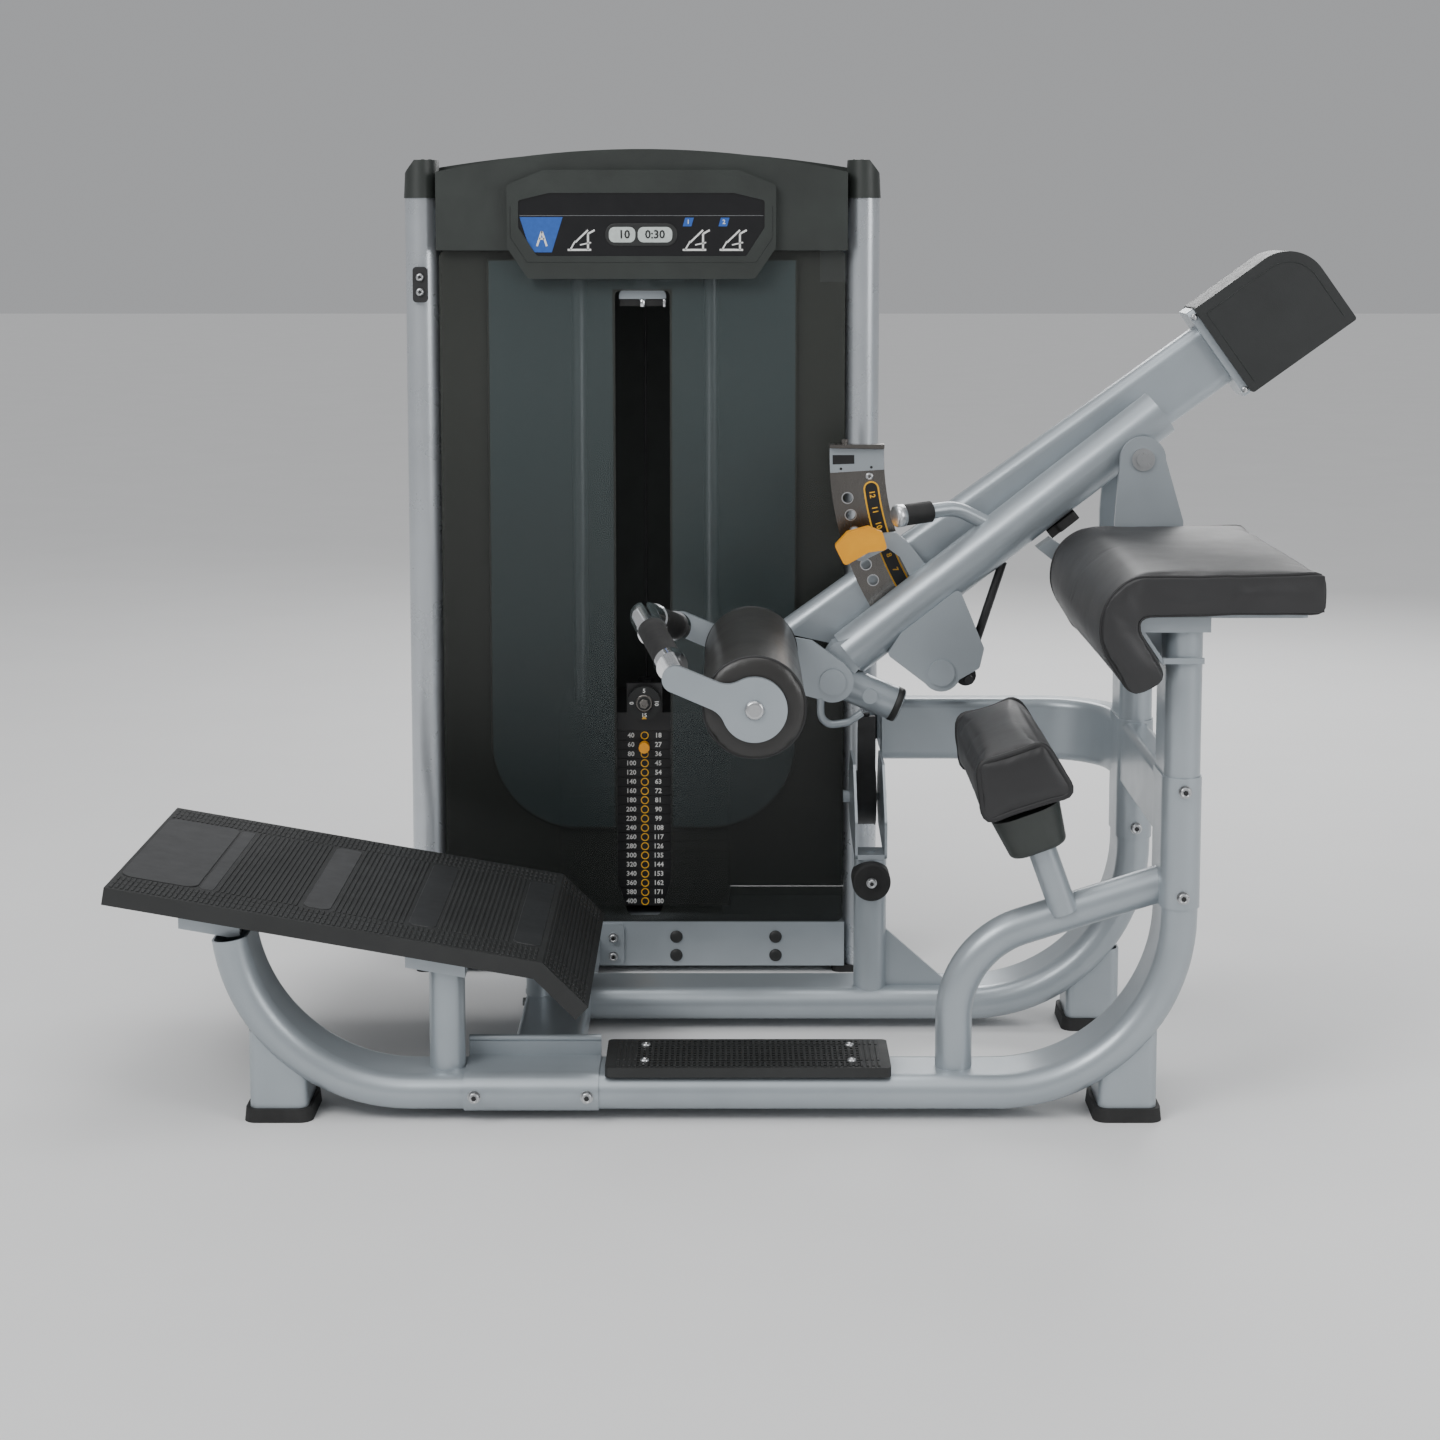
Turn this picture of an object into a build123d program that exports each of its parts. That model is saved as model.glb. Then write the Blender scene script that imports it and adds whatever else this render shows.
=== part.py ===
"""Hip thrust machine: a belt-driven selectorized gym machine, in millimetres, +Z up.

The operator sits across the machine: +X runs from the footplate to the back pad,
+Y runs from the operator's side to the weight tower. The origin is on the floor,
in the middle of the machine's bounding box.
"""
import os
from math import cos, radians, sin, tan

from build123d import *

os.makedirs("parts", exist_ok=True)

# Fits and sizes used all over
FIT = 0.05
SOFT_GAP = 0.3
BOSS_R = 12.0
ROD_R = 12.5

# Frame tubes
RAIL_WIDTH = 120.0
RAIL_HEIGHT = 50.8
WALL = 3.0
BEND = 254.0
RAIL_Z = 40.4
NEAR_Y = -455.0
FAR_Y = -37.0
COLUMN_X = 569.0
COLUMN_TOP = 720.0
LEFT_BEND_X = -511.5
RIGHT_BEND_X = COLUMN_X - BEND
BEND_Z = RAIL_Z + BEND
RAIL_TOP = RAIL_Z + RAIL_HEIGHT / 2
RAIL_BOTTOM = RAIL_Z - RAIL_HEIGHT / 2
CROSS_X = -328.0
CROSS_WIDTH = 100.0
ROUND_TUBE = 25.4

# Footplate
FOOT_LEFT_X = -934.0
FOOT_LEFT_Z = 338.8
FOOT_BEND_X = -324.0
FOOT_SLOPE = 10.0
FOOT_LIP = 91.0
FOOT_LIP_SLOPE = 45.0
FOOT_THICK = 25.0
FOOT_NEAR_Y = -510.0
FOOT_FAR_Y = -14.0

# Arms
PIVOT_X = 590.0
PIVOT_Z = 888.0
SHAFT_R = 14.95
BORE_R = 15.0
ARM_Y = 80.0
ARM_R = 38.0
ARM_LOW = (131.0, 570.0)
ARM_HIGH = (624.0, 959.0)
BEAM_NEAR_Y = 130.0
BEAM_FAR_Y = 181.0
BEAM_DEPTH = 107.0
BEAM_SLOPE = 35.9
BEAM_LOW = -640.0
BEAM_HIGH = 197.0
SECTOR_R = 466.0
SECTOR_FIRST = 8.8
SECTOR_PITCH = 3.46
SECTOR_HOLES = 6
PIN_HOLE = 3
CARRIER_X = 103.0
CARRIER_Z = 534.0

# Roller
ROLLER_X = -27.0
ROLLER_Z = 586.0
ROLLER_R = 76.0
ROLLER_NEAR_Y = -480.0
ROLLER_FAR_Y = 6.0
GRIP_X = -137.0
GRIP_Z = 629.0

# Tower
TOWER_X = -203.75
POST_SPAN = 726.5
POST_WIDTH = 54.0
POST_NEAR_Y = 228.0
POST_FAR_Y = 318.0
POST_BOTTOM = 12.0
POST_TOP = 1298.0
TOWER_BACK = 550.0
BASE_TOP = 87.0
COVER_BOTTOM = 1213.0
STACK_NEAR_Y = 275.0
STACK_FAR_Y = 505.0
STACK_WIDTH = 290.0
STACK_BOTTOM = 103.0
PLATE_PITCH = 15.9
PLATE_GAP = 0.4
PLATES = 19
LIFTED = 2
ROD_OFFSET = 112.5
CABLE_Y = 390.0

# Belt drive
BELT_X = 159.5
BELT_WIDTH = 29.0
BELT_THICK = 3.0
BELT_GAP = 0.3
FRONT_PULLEY = (112.0, 329.0, 42.0)
REAR_PULLEY_R = 30.0


def side(y):
    """Plane facing the operator at this depth: local x is X, local y is Z."""
    return Plane.XZ.offset(-y)


def save(piece, name):
    """Label a finished piece and write its STEP file."""
    piece.label = name
    export_step(piece, f"parts/{name}.step")


def slab(points, near, far, radius=0.0):
    """A plate with this outline in XZ, from near to far in Y."""
    with BuildPart() as plate:
        with BuildSketch(side(far)) as outline:
            with BuildLine():
                Polyline(*points, close=True)
            make_face()
            if radius:
                fillet(outline.vertices(), radius)
        extrude(amount=far - near)
    return plate.part


def block(x0, x1, y0, y1, z0, z1, radius=0.0):
    """An upright block between these limits, its vertical edges rounded."""
    with BuildPart() as body:
        with BuildSketch(Plane.XY.offset(z0)) as outline:
            with Locations(((x0 + x1) / 2, (y0 + y1) / 2)):
                Rectangle(x1 - x0, y1 - y0)
            if radius:
                fillet(outline.vertices(), radius)
        extrude(amount=z1 - z0)
    return body.part


def pin(x, z, radius, near, far):
    """A round bar along Y."""
    with BuildPart() as bar:
        with BuildSketch(side(far)):
            with Locations((x, z)):
                Circle(radius)
        extrude(amount=far - near)
    return bar.part


def axle(y, z, radius, left, right):
    """A round bar along X."""
    with BuildPart() as bar:
        with BuildSketch(Plane.YZ.offset(left)):
            with Locations((y, z)):
                Circle(radius)
        extrude(amount=right - left)
    return bar.part


def post(x, y, radius, bottom, top):
    """A round bar along Z."""
    with BuildPart() as bar:
        with BuildSketch(Plane.XY.offset(bottom)):
            with Locations((x, y)):
                Circle(radius)
        extrude(amount=top - bottom)
    return bar.part


def along(points, radii, bar_radius, wall=0.0):
    """A round bar or tube along a path of straight runs joined by arcs."""
    with BuildPart() as bar:
        with BuildLine() as path:
            if radii:
                FilletPolyline(*points, radius=radii)
            else:
                Polyline(*points)
        with BuildSketch(path.line ^ 0):
            Circle(bar_radius)
            if wall:
                Circle(bar_radius - wall, mode=Mode.SUBTRACT)
        sweep()
    return bar.part


def rail_sweep(y, left_arc, width, height, wall=0.0):
    """The floor rail with its right-hand bend and column, as a flat-oval tube."""
    with BuildPart() as tube:
        with BuildLine(side(y)) as path:
            start = CROSS_X + CROSS_WIDTH / 2
            if left_arc:
                CenterArc((LEFT_BEND_X, BEND_Z), BEND, 187.3, 82.7)
                start = LEFT_BEND_X
            Line((start, RAIL_Z), (RIGHT_BEND_X, RAIL_Z))
            CenterArc((RIGHT_BEND_X, BEND_Z), BEND, 270, 90)
            Line((COLUMN_X, BEND_Z), (COLUMN_X, COLUMN_TOP))
        with BuildSketch(section_plane(path.line)):
            SlotOverall(width, height)
            if wall:
                SlotOverall(width - 2 * wall, height - 2 * wall, mode=Mode.SUBTRACT)
        sweep()
    return tube.part


def section_plane(line):
    """Plane square to a path at its start, with local x along Y."""
    return Plane(origin=line @ 0, x_dir=(0, 1, 0), z_dir=line % 0)


# ---------------------------------------------------------------- floor frame
NEAR_SOLID = rail_sweep(NEAR_Y, True, RAIL_WIDTH, RAIL_HEIGHT)
FAR_SOLID = rail_sweep(FAR_Y, False, RAIL_WIDTH, RAIL_HEIGHT)

save(rail_sweep(NEAR_Y, True, RAIL_WIDTH, RAIL_HEIGHT, WALL), "near_rail")
save(rail_sweep(FAR_Y, False, RAIL_WIDTH, RAIL_HEIGHT, WALL), "far_rail")

# Cross tube from the near rail back to the tower, with its bolting flange.
FLANGE_Y = 222.0
with BuildPart() as cross_tube:
    with BuildSketch(side(FLANGE_Y)) as cross_section:
        with Locations((CROSS_X, RAIL_Z)):
            RectangleRounded(CROSS_WIDTH, RAIL_HEIGHT, 10)
            RectangleRounded(CROSS_WIDTH - 2 * WALL, RAIL_HEIGHT - 2 * WALL, 7, mode=Mode.SUBTRACT)
    extrude(amount=FLANGE_Y - NEAR_Y)
    with BuildSketch(side(POST_NEAR_Y)):
        with Locations((CROSS_X, 50)):
            RectangleRounded(CROSS_WIDTH + 80, 70, 8)
    extrude(amount=POST_NEAR_Y - FLANGE_Y)
    add(NEAR_SOLID, mode=Mode.SUBTRACT)
    add(block(-500, 0, NEAR_Y - 80, NEAR_Y + 30, 0, 90), mode=Mode.SUBTRACT)
save(cross_tube.part, "cross_tube")

# Three leg posts that stand under the rail bends.
LEG_X = (-698.0, 500.0)
LEG_SIZE = (82.0, 96.0)
FOOT_TOP = 19.0
LEG_PLACES = ((LEG_X[0], NEAR_Y), (LEG_X[1], NEAR_Y), (LEG_X[1] + 8, FAR_Y))
with BuildPart() as legs:
    for leg_x, leg_y in LEG_PLACES:
        with BuildSketch(Plane.XY.offset(FOOT_TOP)):
            with Locations((leg_x, leg_y)):
                RectangleRounded(LEG_SIZE[0], LEG_SIZE[1], 14)
                RectangleRounded(LEG_SIZE[0] - 2 * WALL, LEG_SIZE[1] - 2 * WALL, 11, mode=Mode.SUBTRACT)
        extrude(amount=110)
    add(NEAR_SOLID, mode=Mode.SUBTRACT)
    add(FAR_SOLID, mode=Mode.SUBTRACT)
legs_kept = Compound(children=[s for s in legs.part.solids() if s.bounding_box().min.Z < FOOT_TOP + 1])
save(legs_kept, "legs")

# Rubber feet: three under the legs and four under the tower.
TOWER_FOOT_X = (TOWER_X - POST_SPAN / 2 + 12, TOWER_X + POST_SPAN / 2 - 12)
TOWER_FOOT_Y = (POST_NEAR_Y + 32, TOWER_BACK - 45)
with BuildPart() as rubber_feet:
    for leg_x, leg_y in LEG_PLACES:
        with BuildSketch():
            with Locations((leg_x, leg_y)):
                RectangleRounded(LEG_SIZE[0] + 15, LEG_SIZE[1] + 15, 18)
        extrude(amount=FOOT_TOP, taper=6)
    for foot_x in TOWER_FOOT_X:
        for foot_y in TOWER_FOOT_Y:
            with BuildSketch():
                with Locations((foot_x, foot_y)):
                    RectangleRounded(70, 60, 12)
            extrude(amount=POST_BOTTOM)
save(rubber_feet.part, "rubber_feet")

# Sleeves that join the lower and upper parts of both columns.
SLEEVE_GROW = 5.0
SLEEVE_BOTTOM = 308.0
SLEEVE_TOP = 494.0
with BuildPart() as column_sleeves:
    for sleeve_y in (NEAR_Y, FAR_Y):
        with BuildSketch(Plane.XY.offset(SLEEVE_BOTTOM)):
            with Locations((COLUMN_X, sleeve_y)):
                SlotOverall(RAIL_WIDTH + SLEEVE_GROW, RAIL_HEIGHT + SLEEVE_GROW, rotation=90)
                SlotOverall(RAIL_WIDTH, RAIL_HEIGHT, rotation=90, mode=Mode.SUBTRACT)
        extrude(amount=SLEEVE_TOP - SLEEVE_BOTTOM)

# Joint sleeve on the near rail where the cross tube leaves it, with a rolled back plate.
JOINT_X = (-436.0, -246.0)
with BuildPart() as rail_joint:
    with BuildSketch(Plane.YZ.offset(JOINT_X[0])):
        with Locations((NEAR_Y, RAIL_Z)):
            SlotOverall(RAIL_WIDTH + SLEEVE_GROW, RAIL_HEIGHT + SLEEVE_GROW)
            SlotOverall(RAIL_WIDTH, RAIL_HEIGHT, mode=Mode.SUBTRACT)
    extrude(amount=JOINT_X[1] - JOINT_X[0])
    add(block(JOINT_X[0], JOINT_X[1], NEAR_Y + 40, NEAR_Y + 46, RAIL_TOP - 8, 92))
    add(axle(NEAR_Y + 43, 92, 5, JOINT_X[0], JOINT_X[1]))
    add(NEAR_SOLID, mode=Mode.SUBTRACT)
    add(cross_tube.part, mode=Mode.SUBTRACT)
    add(block(CROSS_X - 50, CROSS_X + 50, NEAR_Y + 30, NEAR_Y + 90, 15, RAIL_TOP), mode=Mode.SUBTRACT)
save(Compound(children=[*column_sleeves.part.solids(), *rail_joint.part.solids()]), "joint_sleeves")


# ------------------------------------------------------------------ footplate
def foot_top(x):
    """Height of the footplate's upper face at this X."""
    return FOOT_LEFT_Z - (x - FOOT_LEFT_X) * tan(radians(FOOT_SLOPE))


FOOT_BEND_Z = foot_top(FOOT_BEND_X)
LIP_DX = FOOT_LIP * cos(radians(FOOT_LIP_SLOPE))
LIP_DZ = FOOT_LIP * sin(radians(FOOT_LIP_SLOPE))
FOOT_DROP = FOOT_THICK / cos(radians(FOOT_SLOPE))
with BuildPart() as footplate:
    with BuildSketch(side(FOOT_FAR_Y)):
        with BuildLine() as foot_line:
            Polyline(
                (FOOT_LEFT_X, FOOT_LEFT_Z),
                (FOOT_BEND_X, FOOT_BEND_Z),
                (FOOT_BEND_X + LIP_DX, FOOT_BEND_Z - LIP_DZ),
            )
            offset(amount=-FOOT_THICK, side=Side.RIGHT, closed=True)
        make_face()
    extrude(amount=FOOT_FAR_Y - FOOT_NEAR_Y)
save(footplate.part, "footplate")

# Cross bars, post and far stay that carry the footplate.
BAR_THICK = 22.0
FOOT_BARS = ((-836.0, -750.0), (-518.0, -434.0))
FOOT_POST_X = -463.0
STAY_X = -358.0
STAY_Y = -110.0
with BuildPart() as footplate_frame:
    for bar_left, bar_right in FOOT_BARS:
        top_left = foot_top(bar_left) - FOOT_DROP
        top_right = foot_top(bar_right) - FOOT_DROP
        outline = [
            (bar_left, top_left),
            (bar_right, top_right),
            (bar_right, top_right - BAR_THICK),
            (bar_left, top_left - BAR_THICK),
        ]
        add(slab(outline, FOOT_NEAR_Y + 22, FOOT_FAR_Y - 22))
    add(post(FOOT_POST_X, NEAR_Y, ROUND_TUBE, RAIL_Z, foot_top(FOOT_POST_X) - FOOT_DROP - 10))
    add(post(STAY_X, STAY_Y, 19, RAIL_TOP, foot_top(STAY_X) - FOOT_DROP - 12))
    stay_top = [
        (STAY_X - 60, foot_top(STAY_X - 60) - FOOT_DROP - 0.02),
        (STAY_X + 18, foot_top(STAY_X + 18) - FOOT_DROP - 0.02),
        (STAY_X + 18, foot_top(STAY_X + 18) - FOOT_DROP - 14),
        (STAY_X - 60, foot_top(STAY_X - 60) - FOOT_DROP - 14),
    ]
    add(slab(stay_top, STAY_Y - 40, STAY_Y + 40))
    add(NEAR_SOLID, mode=Mode.SUBTRACT)
foot_solids = [s for s in footplate_frame.part.solids() if s.volume > 5000]
save(Compound(children=foot_solids), "footplate_frame")

# Ribbed tread on the near rail.
TREAD = (-237.0, 166.0, -510.0, -380.0)
TREAD_THICK = 14.0
GROOVES = 11
with BuildPart() as step_tread:
    add(block(TREAD[0], TREAD[1], TREAD[2], TREAD[3], RAIL_TOP, RAIL_TOP + TREAD_THICK, 8))
    for step in range(GROOVES):
        groove_y = TREAD[2] + 12 + step * (TREAD[3] - TREAD[2] - 24) / (GROOVES - 1)
        groove = block(
            TREAD[0] + 40, TREAD[1] - 40, groove_y - 2, groove_y + 2, RAIL_TOP + TREAD_THICK - 3, RAIL_TOP + 20
        )
        add(groove, mode=Mode.SUBTRACT)
save(step_tread.part, "step_tread")

# ------------------------------------------------- hip bolster and its support
ARCH_X = 257.0
ARCH_START_Z = 137.7
ARCH_BEND = 138.0
ARCH_SLOPE = radians(17.7)
ARCH_RUN = 215.0
ARCH_TURN = radians(90) - ARCH_SLOPE
ARCH_TANGENT = ARCH_BEND * tan(ARCH_TURN / 2)
ARCH_CORNER_Z = ARCH_START_Z + ARCH_TANGENT
ARCH_END = (
    ARCH_X + (ARCH_RUN + ARCH_TANGENT) * cos(ARCH_SLOPE),
    NEAR_Y,
    ARCH_CORNER_Z + (ARCH_RUN + ARCH_TANGENT) * sin(ARCH_SLOPE),
)
BOLSTER_TILT = radians(20)
BOLSTER_POST_Y = -470.0
POST_FOOT = (404.6, 309.7)
POST_LENGTH = 108.0
with BuildPart() as bolster_support:
    add(along(
        [(ARCH_X, NEAR_Y, RAIL_Z), (ARCH_X, NEAR_Y, ARCH_CORNER_Z), ARCH_END], [ARCH_BEND], 26,
    ))
    add(along(
        [
            (POST_FOOT[0] + 6, BOLSTER_POST_Y, POST_FOOT[1] - 16),
            (
                POST_FOOT[0] - POST_LENGTH * sin(BOLSTER_TILT),
                BOLSTER_POST_Y,
                POST_FOOT[1] + POST_LENGTH * cos(BOLSTER_TILT),
            ),
        ],
        None, 20,
    ))
    add(NEAR_SOLID, mode=Mode.SUBTRACT)
    add(column_sleeves.part, mode=Mode.SUBTRACT)
arch_solids = [s for s in bolster_support.part.solids() if s.volume > 50000]
save(Compound(children=arch_solids), "bolster_support")

PAD_NEAR_Y = -525.0
PAD_FAR_Y = -170.0
BOLSTER_OUTLINE = [(288.0, 427.0), (424.0, 472.0), (374.0, 549.0), (279.0, 517.0)]
save(slab(BOLSTER_OUTLINE, PAD_NEAR_Y, PAD_FAR_Y, 12), "hip_bolster_pad")


def underside(x):
    """Height of the bolster pad's sloping underside, less the gap left below it."""
    low, high = BOLSTER_OUTLINE[:2]
    return low[1] + (x - low[0]) * (high[1] - low[1]) / (high[0] - low[0]) - SOFT_GAP


with BuildPart() as bolster_base:
    with BuildSketch(Plane(
        origin=(POST_FOOT[0] - 82 * sin(BOLSTER_TILT), BOLSTER_POST_Y, POST_FOOT[1] + 82 * cos(BOLSTER_TILT)),
        x_dir=(cos(BOLSTER_TILT), 0, sin(BOLSTER_TILT)),
        z_dir=(-sin(BOLSTER_TILT), 0, cos(BOLSTER_TILT)),
    )):
        with Locations((-4, 110)):
            RectangleRounded(82, 288, 26)
    extrude(amount=60, taper=-9)
    fillet(bolster_base.faces().sort_by(Axis.Z)[0].edges(), 9)
    add(slab([
        (200, underside(200)), (500, underside(500)), (500, 700), (200, 700),
    ], -700, 0), mode=Mode.SUBTRACT)
    add(bolster_support.part, mode=Mode.SUBTRACT)
base_solids = [s for s in bolster_base.part.solids() if s.volume > 20000]
save(Compound(children=base_solids), "bolster_base")

# ------------------------------------------------------------- upper framework
CROSSBAR_Z = (390.0, 490.0)
with BuildPart() as column_crossbar:
    with BuildSketch(side(FAR_Y)):
        with Locations((COLUMN_X - 2, sum(CROSSBAR_Z) / 2)):
            RectangleRounded(44, CROSSBAR_Z[1] - CROSSBAR_Z[0], 12)
            RectangleRounded(44 - 2 * WALL, CROSSBAR_Z[1] - CROSSBAR_Z[0] - 2 * WALL, 9, mode=Mode.SUBTRACT)
    extrude(amount=FAR_Y - NEAR_Y)
    for column_y in (NEAR_Y, FAR_Y):
        with BuildSketch(Plane.XY.offset(300)):
            with Locations((COLUMN_X, column_y)):
                SlotOverall(RAIL_WIDTH + SLEEVE_GROW, RAIL_HEIGHT + SLEEVE_GROW, rotation=90)
        extrude(amount=250, mode=Mode.SUBTRACT)
save(column_crossbar.part, "column_crossbar")

SIDE_RAIL_Y = 130.0
SIDE_RAIL_BEND = 120.0
with BuildPart() as side_rail:
    with BuildLine(Plane.XY.offset(sum(CROSSBAR_Z) / 2)) as side_path:
        FilletPolyline((186.5, SIDE_RAIL_Y), (545, SIDE_RAIL_Y), (COLUMN_X, FAR_Y), radius=SIDE_RAIL_BEND)
    with BuildSketch(Plane(origin=side_path.line @ 0, x_dir=(0, 1, 0), z_dir=(1, 0, 0))):
        RectangleRounded(50, CROSSBAR_Z[1] - CROSSBAR_Z[0], 14)
        RectangleRounded(50 - 2 * WALL, CROSSBAR_Z[1] - CROSSBAR_Z[0] - 2 * WALL, 11, mode=Mode.SUBTRACT)
    sweep()
    with BuildSketch(Plane.XY.offset(300)):
        with Locations((COLUMN_X, FAR_Y)):
            SlotOverall(RAIL_WIDTH + SLEEVE_GROW, RAIL_HEIGHT + SLEEVE_GROW, rotation=90)
    extrude(amount=250, mode=Mode.SUBTRACT)
side_solids = sorted(side_rail.part.solids(), key=lambda s: s.volume)
with BuildPart() as side_rail_end:
    add(side_solids[-1])
    # Lug that carries the rail's left end to the tower post.
    add(block(186.5, 206, SIDE_RAIL_Y + 10, POST_NEAR_Y + 60, CROSSBAR_Z[0] + 6, CROSSBAR_Z[1] - 6))
save(side_rail_end.part, "side_rail")

# Belt post with its gusset, and the bumper at its top.
BELT_POST_Y = -60.0
BELT_POST_TOP = 272.0
with BuildPart() as belt_post:
    add(post(BELT_X, BELT_POST_Y, ROUND_TUBE, RAIL_Z, BELT_POST_TOP))
    add(slab([(180, 160), (180, RAIL_Z), (280, RAIL_Z), (280, RAIL_TOP + 6)], BELT_POST_Y - 4, BELT_POST_Y + 4))
    add(FAR_SOLID, mode=Mode.SUBTRACT)
post_solids = sorted(belt_post.part.solids(), key=lambda s: s.volume)
save(Compound(children=[s for s in post_solids if s.volume > 20000]), "belt_post")

BUMPER_Z = 240.0
with BuildPart() as post_bumper:
    add(pin(BELT_X, BUMPER_Z, 30, BELT_POST_Y - ROUND_TUBE - 18, BELT_POST_Y))
    fillet(post_bumper.faces().sort_by(Axis.Y)[0].edges(), 5)
    add(belt_post.part, mode=Mode.SUBTRACT)
bumper_solids = sorted(post_bumper.part.solids(), key=lambda s: s.center().Y)
save(bumper_solids[0], "post_bumper")

# Fork of two plates that holds the front belt pulley on top of the belt post.
FRONT_Y, FRONT_Z, FRONT_R = FRONT_PULLEY
AXLE_R = 6.0
FORK_HALF = 21.0
FORK_PLATE = 4.0
with BuildPart() as pulley_fork:
    for fork_side in (-1, 1):
        inner = BELT_X + fork_side * FORK_HALF - (FORK_PLATE if fork_side < 0 else 0)
        with BuildSketch(Plane.YZ.offset(inner)) as fork_outline:
            with BuildLine():
                Polyline((-86, BELT_POST_TOP), (-34, BELT_POST_TOP), (100, 290),
                         (FRONT_Y + 22, 318), (FRONT_Y + 22, 352),
                         (FRONT_Y - 10, 408), (-10, 408), (-86, 330), close=True)
            make_face()
            fillet(fork_outline.vertices(), 9)
        extrude(amount=FORK_PLATE)
    add(block(BELT_X - FORK_HALF, BELT_X + FORK_HALF, -86, -34, BELT_POST_TOP, BELT_POST_TOP + 8))
    add(post(BELT_X, BELT_POST_Y, 8, BELT_POST_TOP, BELT_POST_TOP + 10))
    # Axle bolt with a head on each cheek.
    add(axle(FRONT_Y, FRONT_Z, AXLE_R, BELT_X - 34, BELT_X + 34))
    for head_side in (-1, 1):
        head_left = BELT_X + head_side * 30 - 5
        add(axle(FRONT_Y, FRONT_Z, 10, head_left, head_left + 10))
save(pulley_fork.part, "pulley_fork")


def grooved_pulley(y, z, radius, width, bore):
    """Flat-belt pulley with its axle along X."""
    with BuildPart() as wheel:
        add(axle(y, z, radius, BELT_X - width / 2, BELT_X + width / 2))
        for rim in (-1, 1):
            left = BELT_X + rim * (width / 2 - 1) - 1
            add(axle(y, z, radius + 4.5, left, left + 2))
        add(axle(y, z, bore, BELT_X - width, BELT_X + width), mode=Mode.SUBTRACT)
    return wheel.part


PULLEY_WIDTH = 34.0
save(grooved_pulley(FRONT_Y, FRONT_Z, FRONT_R, PULLEY_WIDTH, AXLE_R + FIT), "front_pulley")

# Back pad and the steel carrier under it.
PAD_TOP = 785.0
PAD_THICK = 59.0
PAD_RIGHT = 753.5
PAD_Y = (-550.0, 22.0)
WING = radians(56)
WING_CORNER = (485.0, PAD_TOP - PAD_THICK)
WING_LENGTH = 102.0
WING_INNER = (WING_CORNER[0] + WING_LENGTH * cos(WING), WING_CORNER[1] - WING_LENGTH * sin(WING))
WING_OUTER = (WING_INNER[0] - PAD_THICK * sin(WING), WING_INNER[1] - PAD_THICK * cos(WING))
BEND_CORNER_X = WING_OUTER[0] - (PAD_TOP - WING_OUTER[1]) / tan(WING)
with BuildPart() as back_pad:
    with BuildSketch(side(PAD_Y[1])) as pad_outline:
        with BuildLine():
            Polyline(
                (PAD_RIGHT, PAD_TOP), (BEND_CORNER_X, PAD_TOP), WING_OUTER, WING_INNER,
                WING_CORNER, (PAD_RIGHT, WING_CORNER[1]), close=True,
            )
        make_face()
        fillet(pad_outline.vertices().sort_by(Axis.X)[0], 75)
        fillet(pad_outline.vertices().sort_by_distance(WING_OUTER)[0], 18)
        fillet(pad_outline.vertices().sort_by_distance(WING_INNER)[0], 12)
        fillet(pad_outline.vertices().sort_by_distance(WING_CORNER)[0], 14)
    extrude(amount=PAD_Y[1] - PAD_Y[0])
save(back_pad.part, "back_pad")

CARRIER_THICK = 5.0
PAD_GAP = 0.6
CARRIER_TOP = WING_CORNER[1] - PAD_GAP
with BuildPart() as pad_carrier:
    add(block(508, 735, PAD_Y[0] + 30, PAD_Y[1] - 30, COLUMN_TOP, CARRIER_TOP, 10))
    with BuildSketch(Plane(
        origin=(WING_CORNER[0] + (PAD_GAP + SOFT_GAP) * sin(WING), (PAD_Y[0] + PAD_Y[1]) / 2,
                WING_CORNER[1] + (PAD_GAP + SOFT_GAP) * cos(WING)),
        x_dir=(cos(WING), 0, -sin(WING)),
        z_dir=(sin(WING), 0, cos(WING)),
    )):
        with Locations((WING_LENGTH / 2 + 2, 0)):
            Rectangle(WING_LENGTH - 34, PAD_Y[1] - PAD_Y[0] - 60)
    extrude(amount=CARRIER_THICK)
    for column_y in (NEAR_Y, FAR_Y):
        add(slab([(500, 716), (543, 722), (543, 655), (538, 655)], column_y - 3, column_y + 3))
    add(block(535, 592, NEAR_Y - 66, NEAR_Y - 60.5, 656, 664))
    add(block(500, 600, NEAR_Y - 66, NEAR_Y - 61, 700, COLUMN_TOP + 1))
    add(back_pad.part, mode=Mode.SUBTRACT)
carrier_solids = [s for s in pad_carrier.part.solids() if s.volume > 1000]
save(Compound(children=carrier_solids), "pad_carrier")

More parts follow.
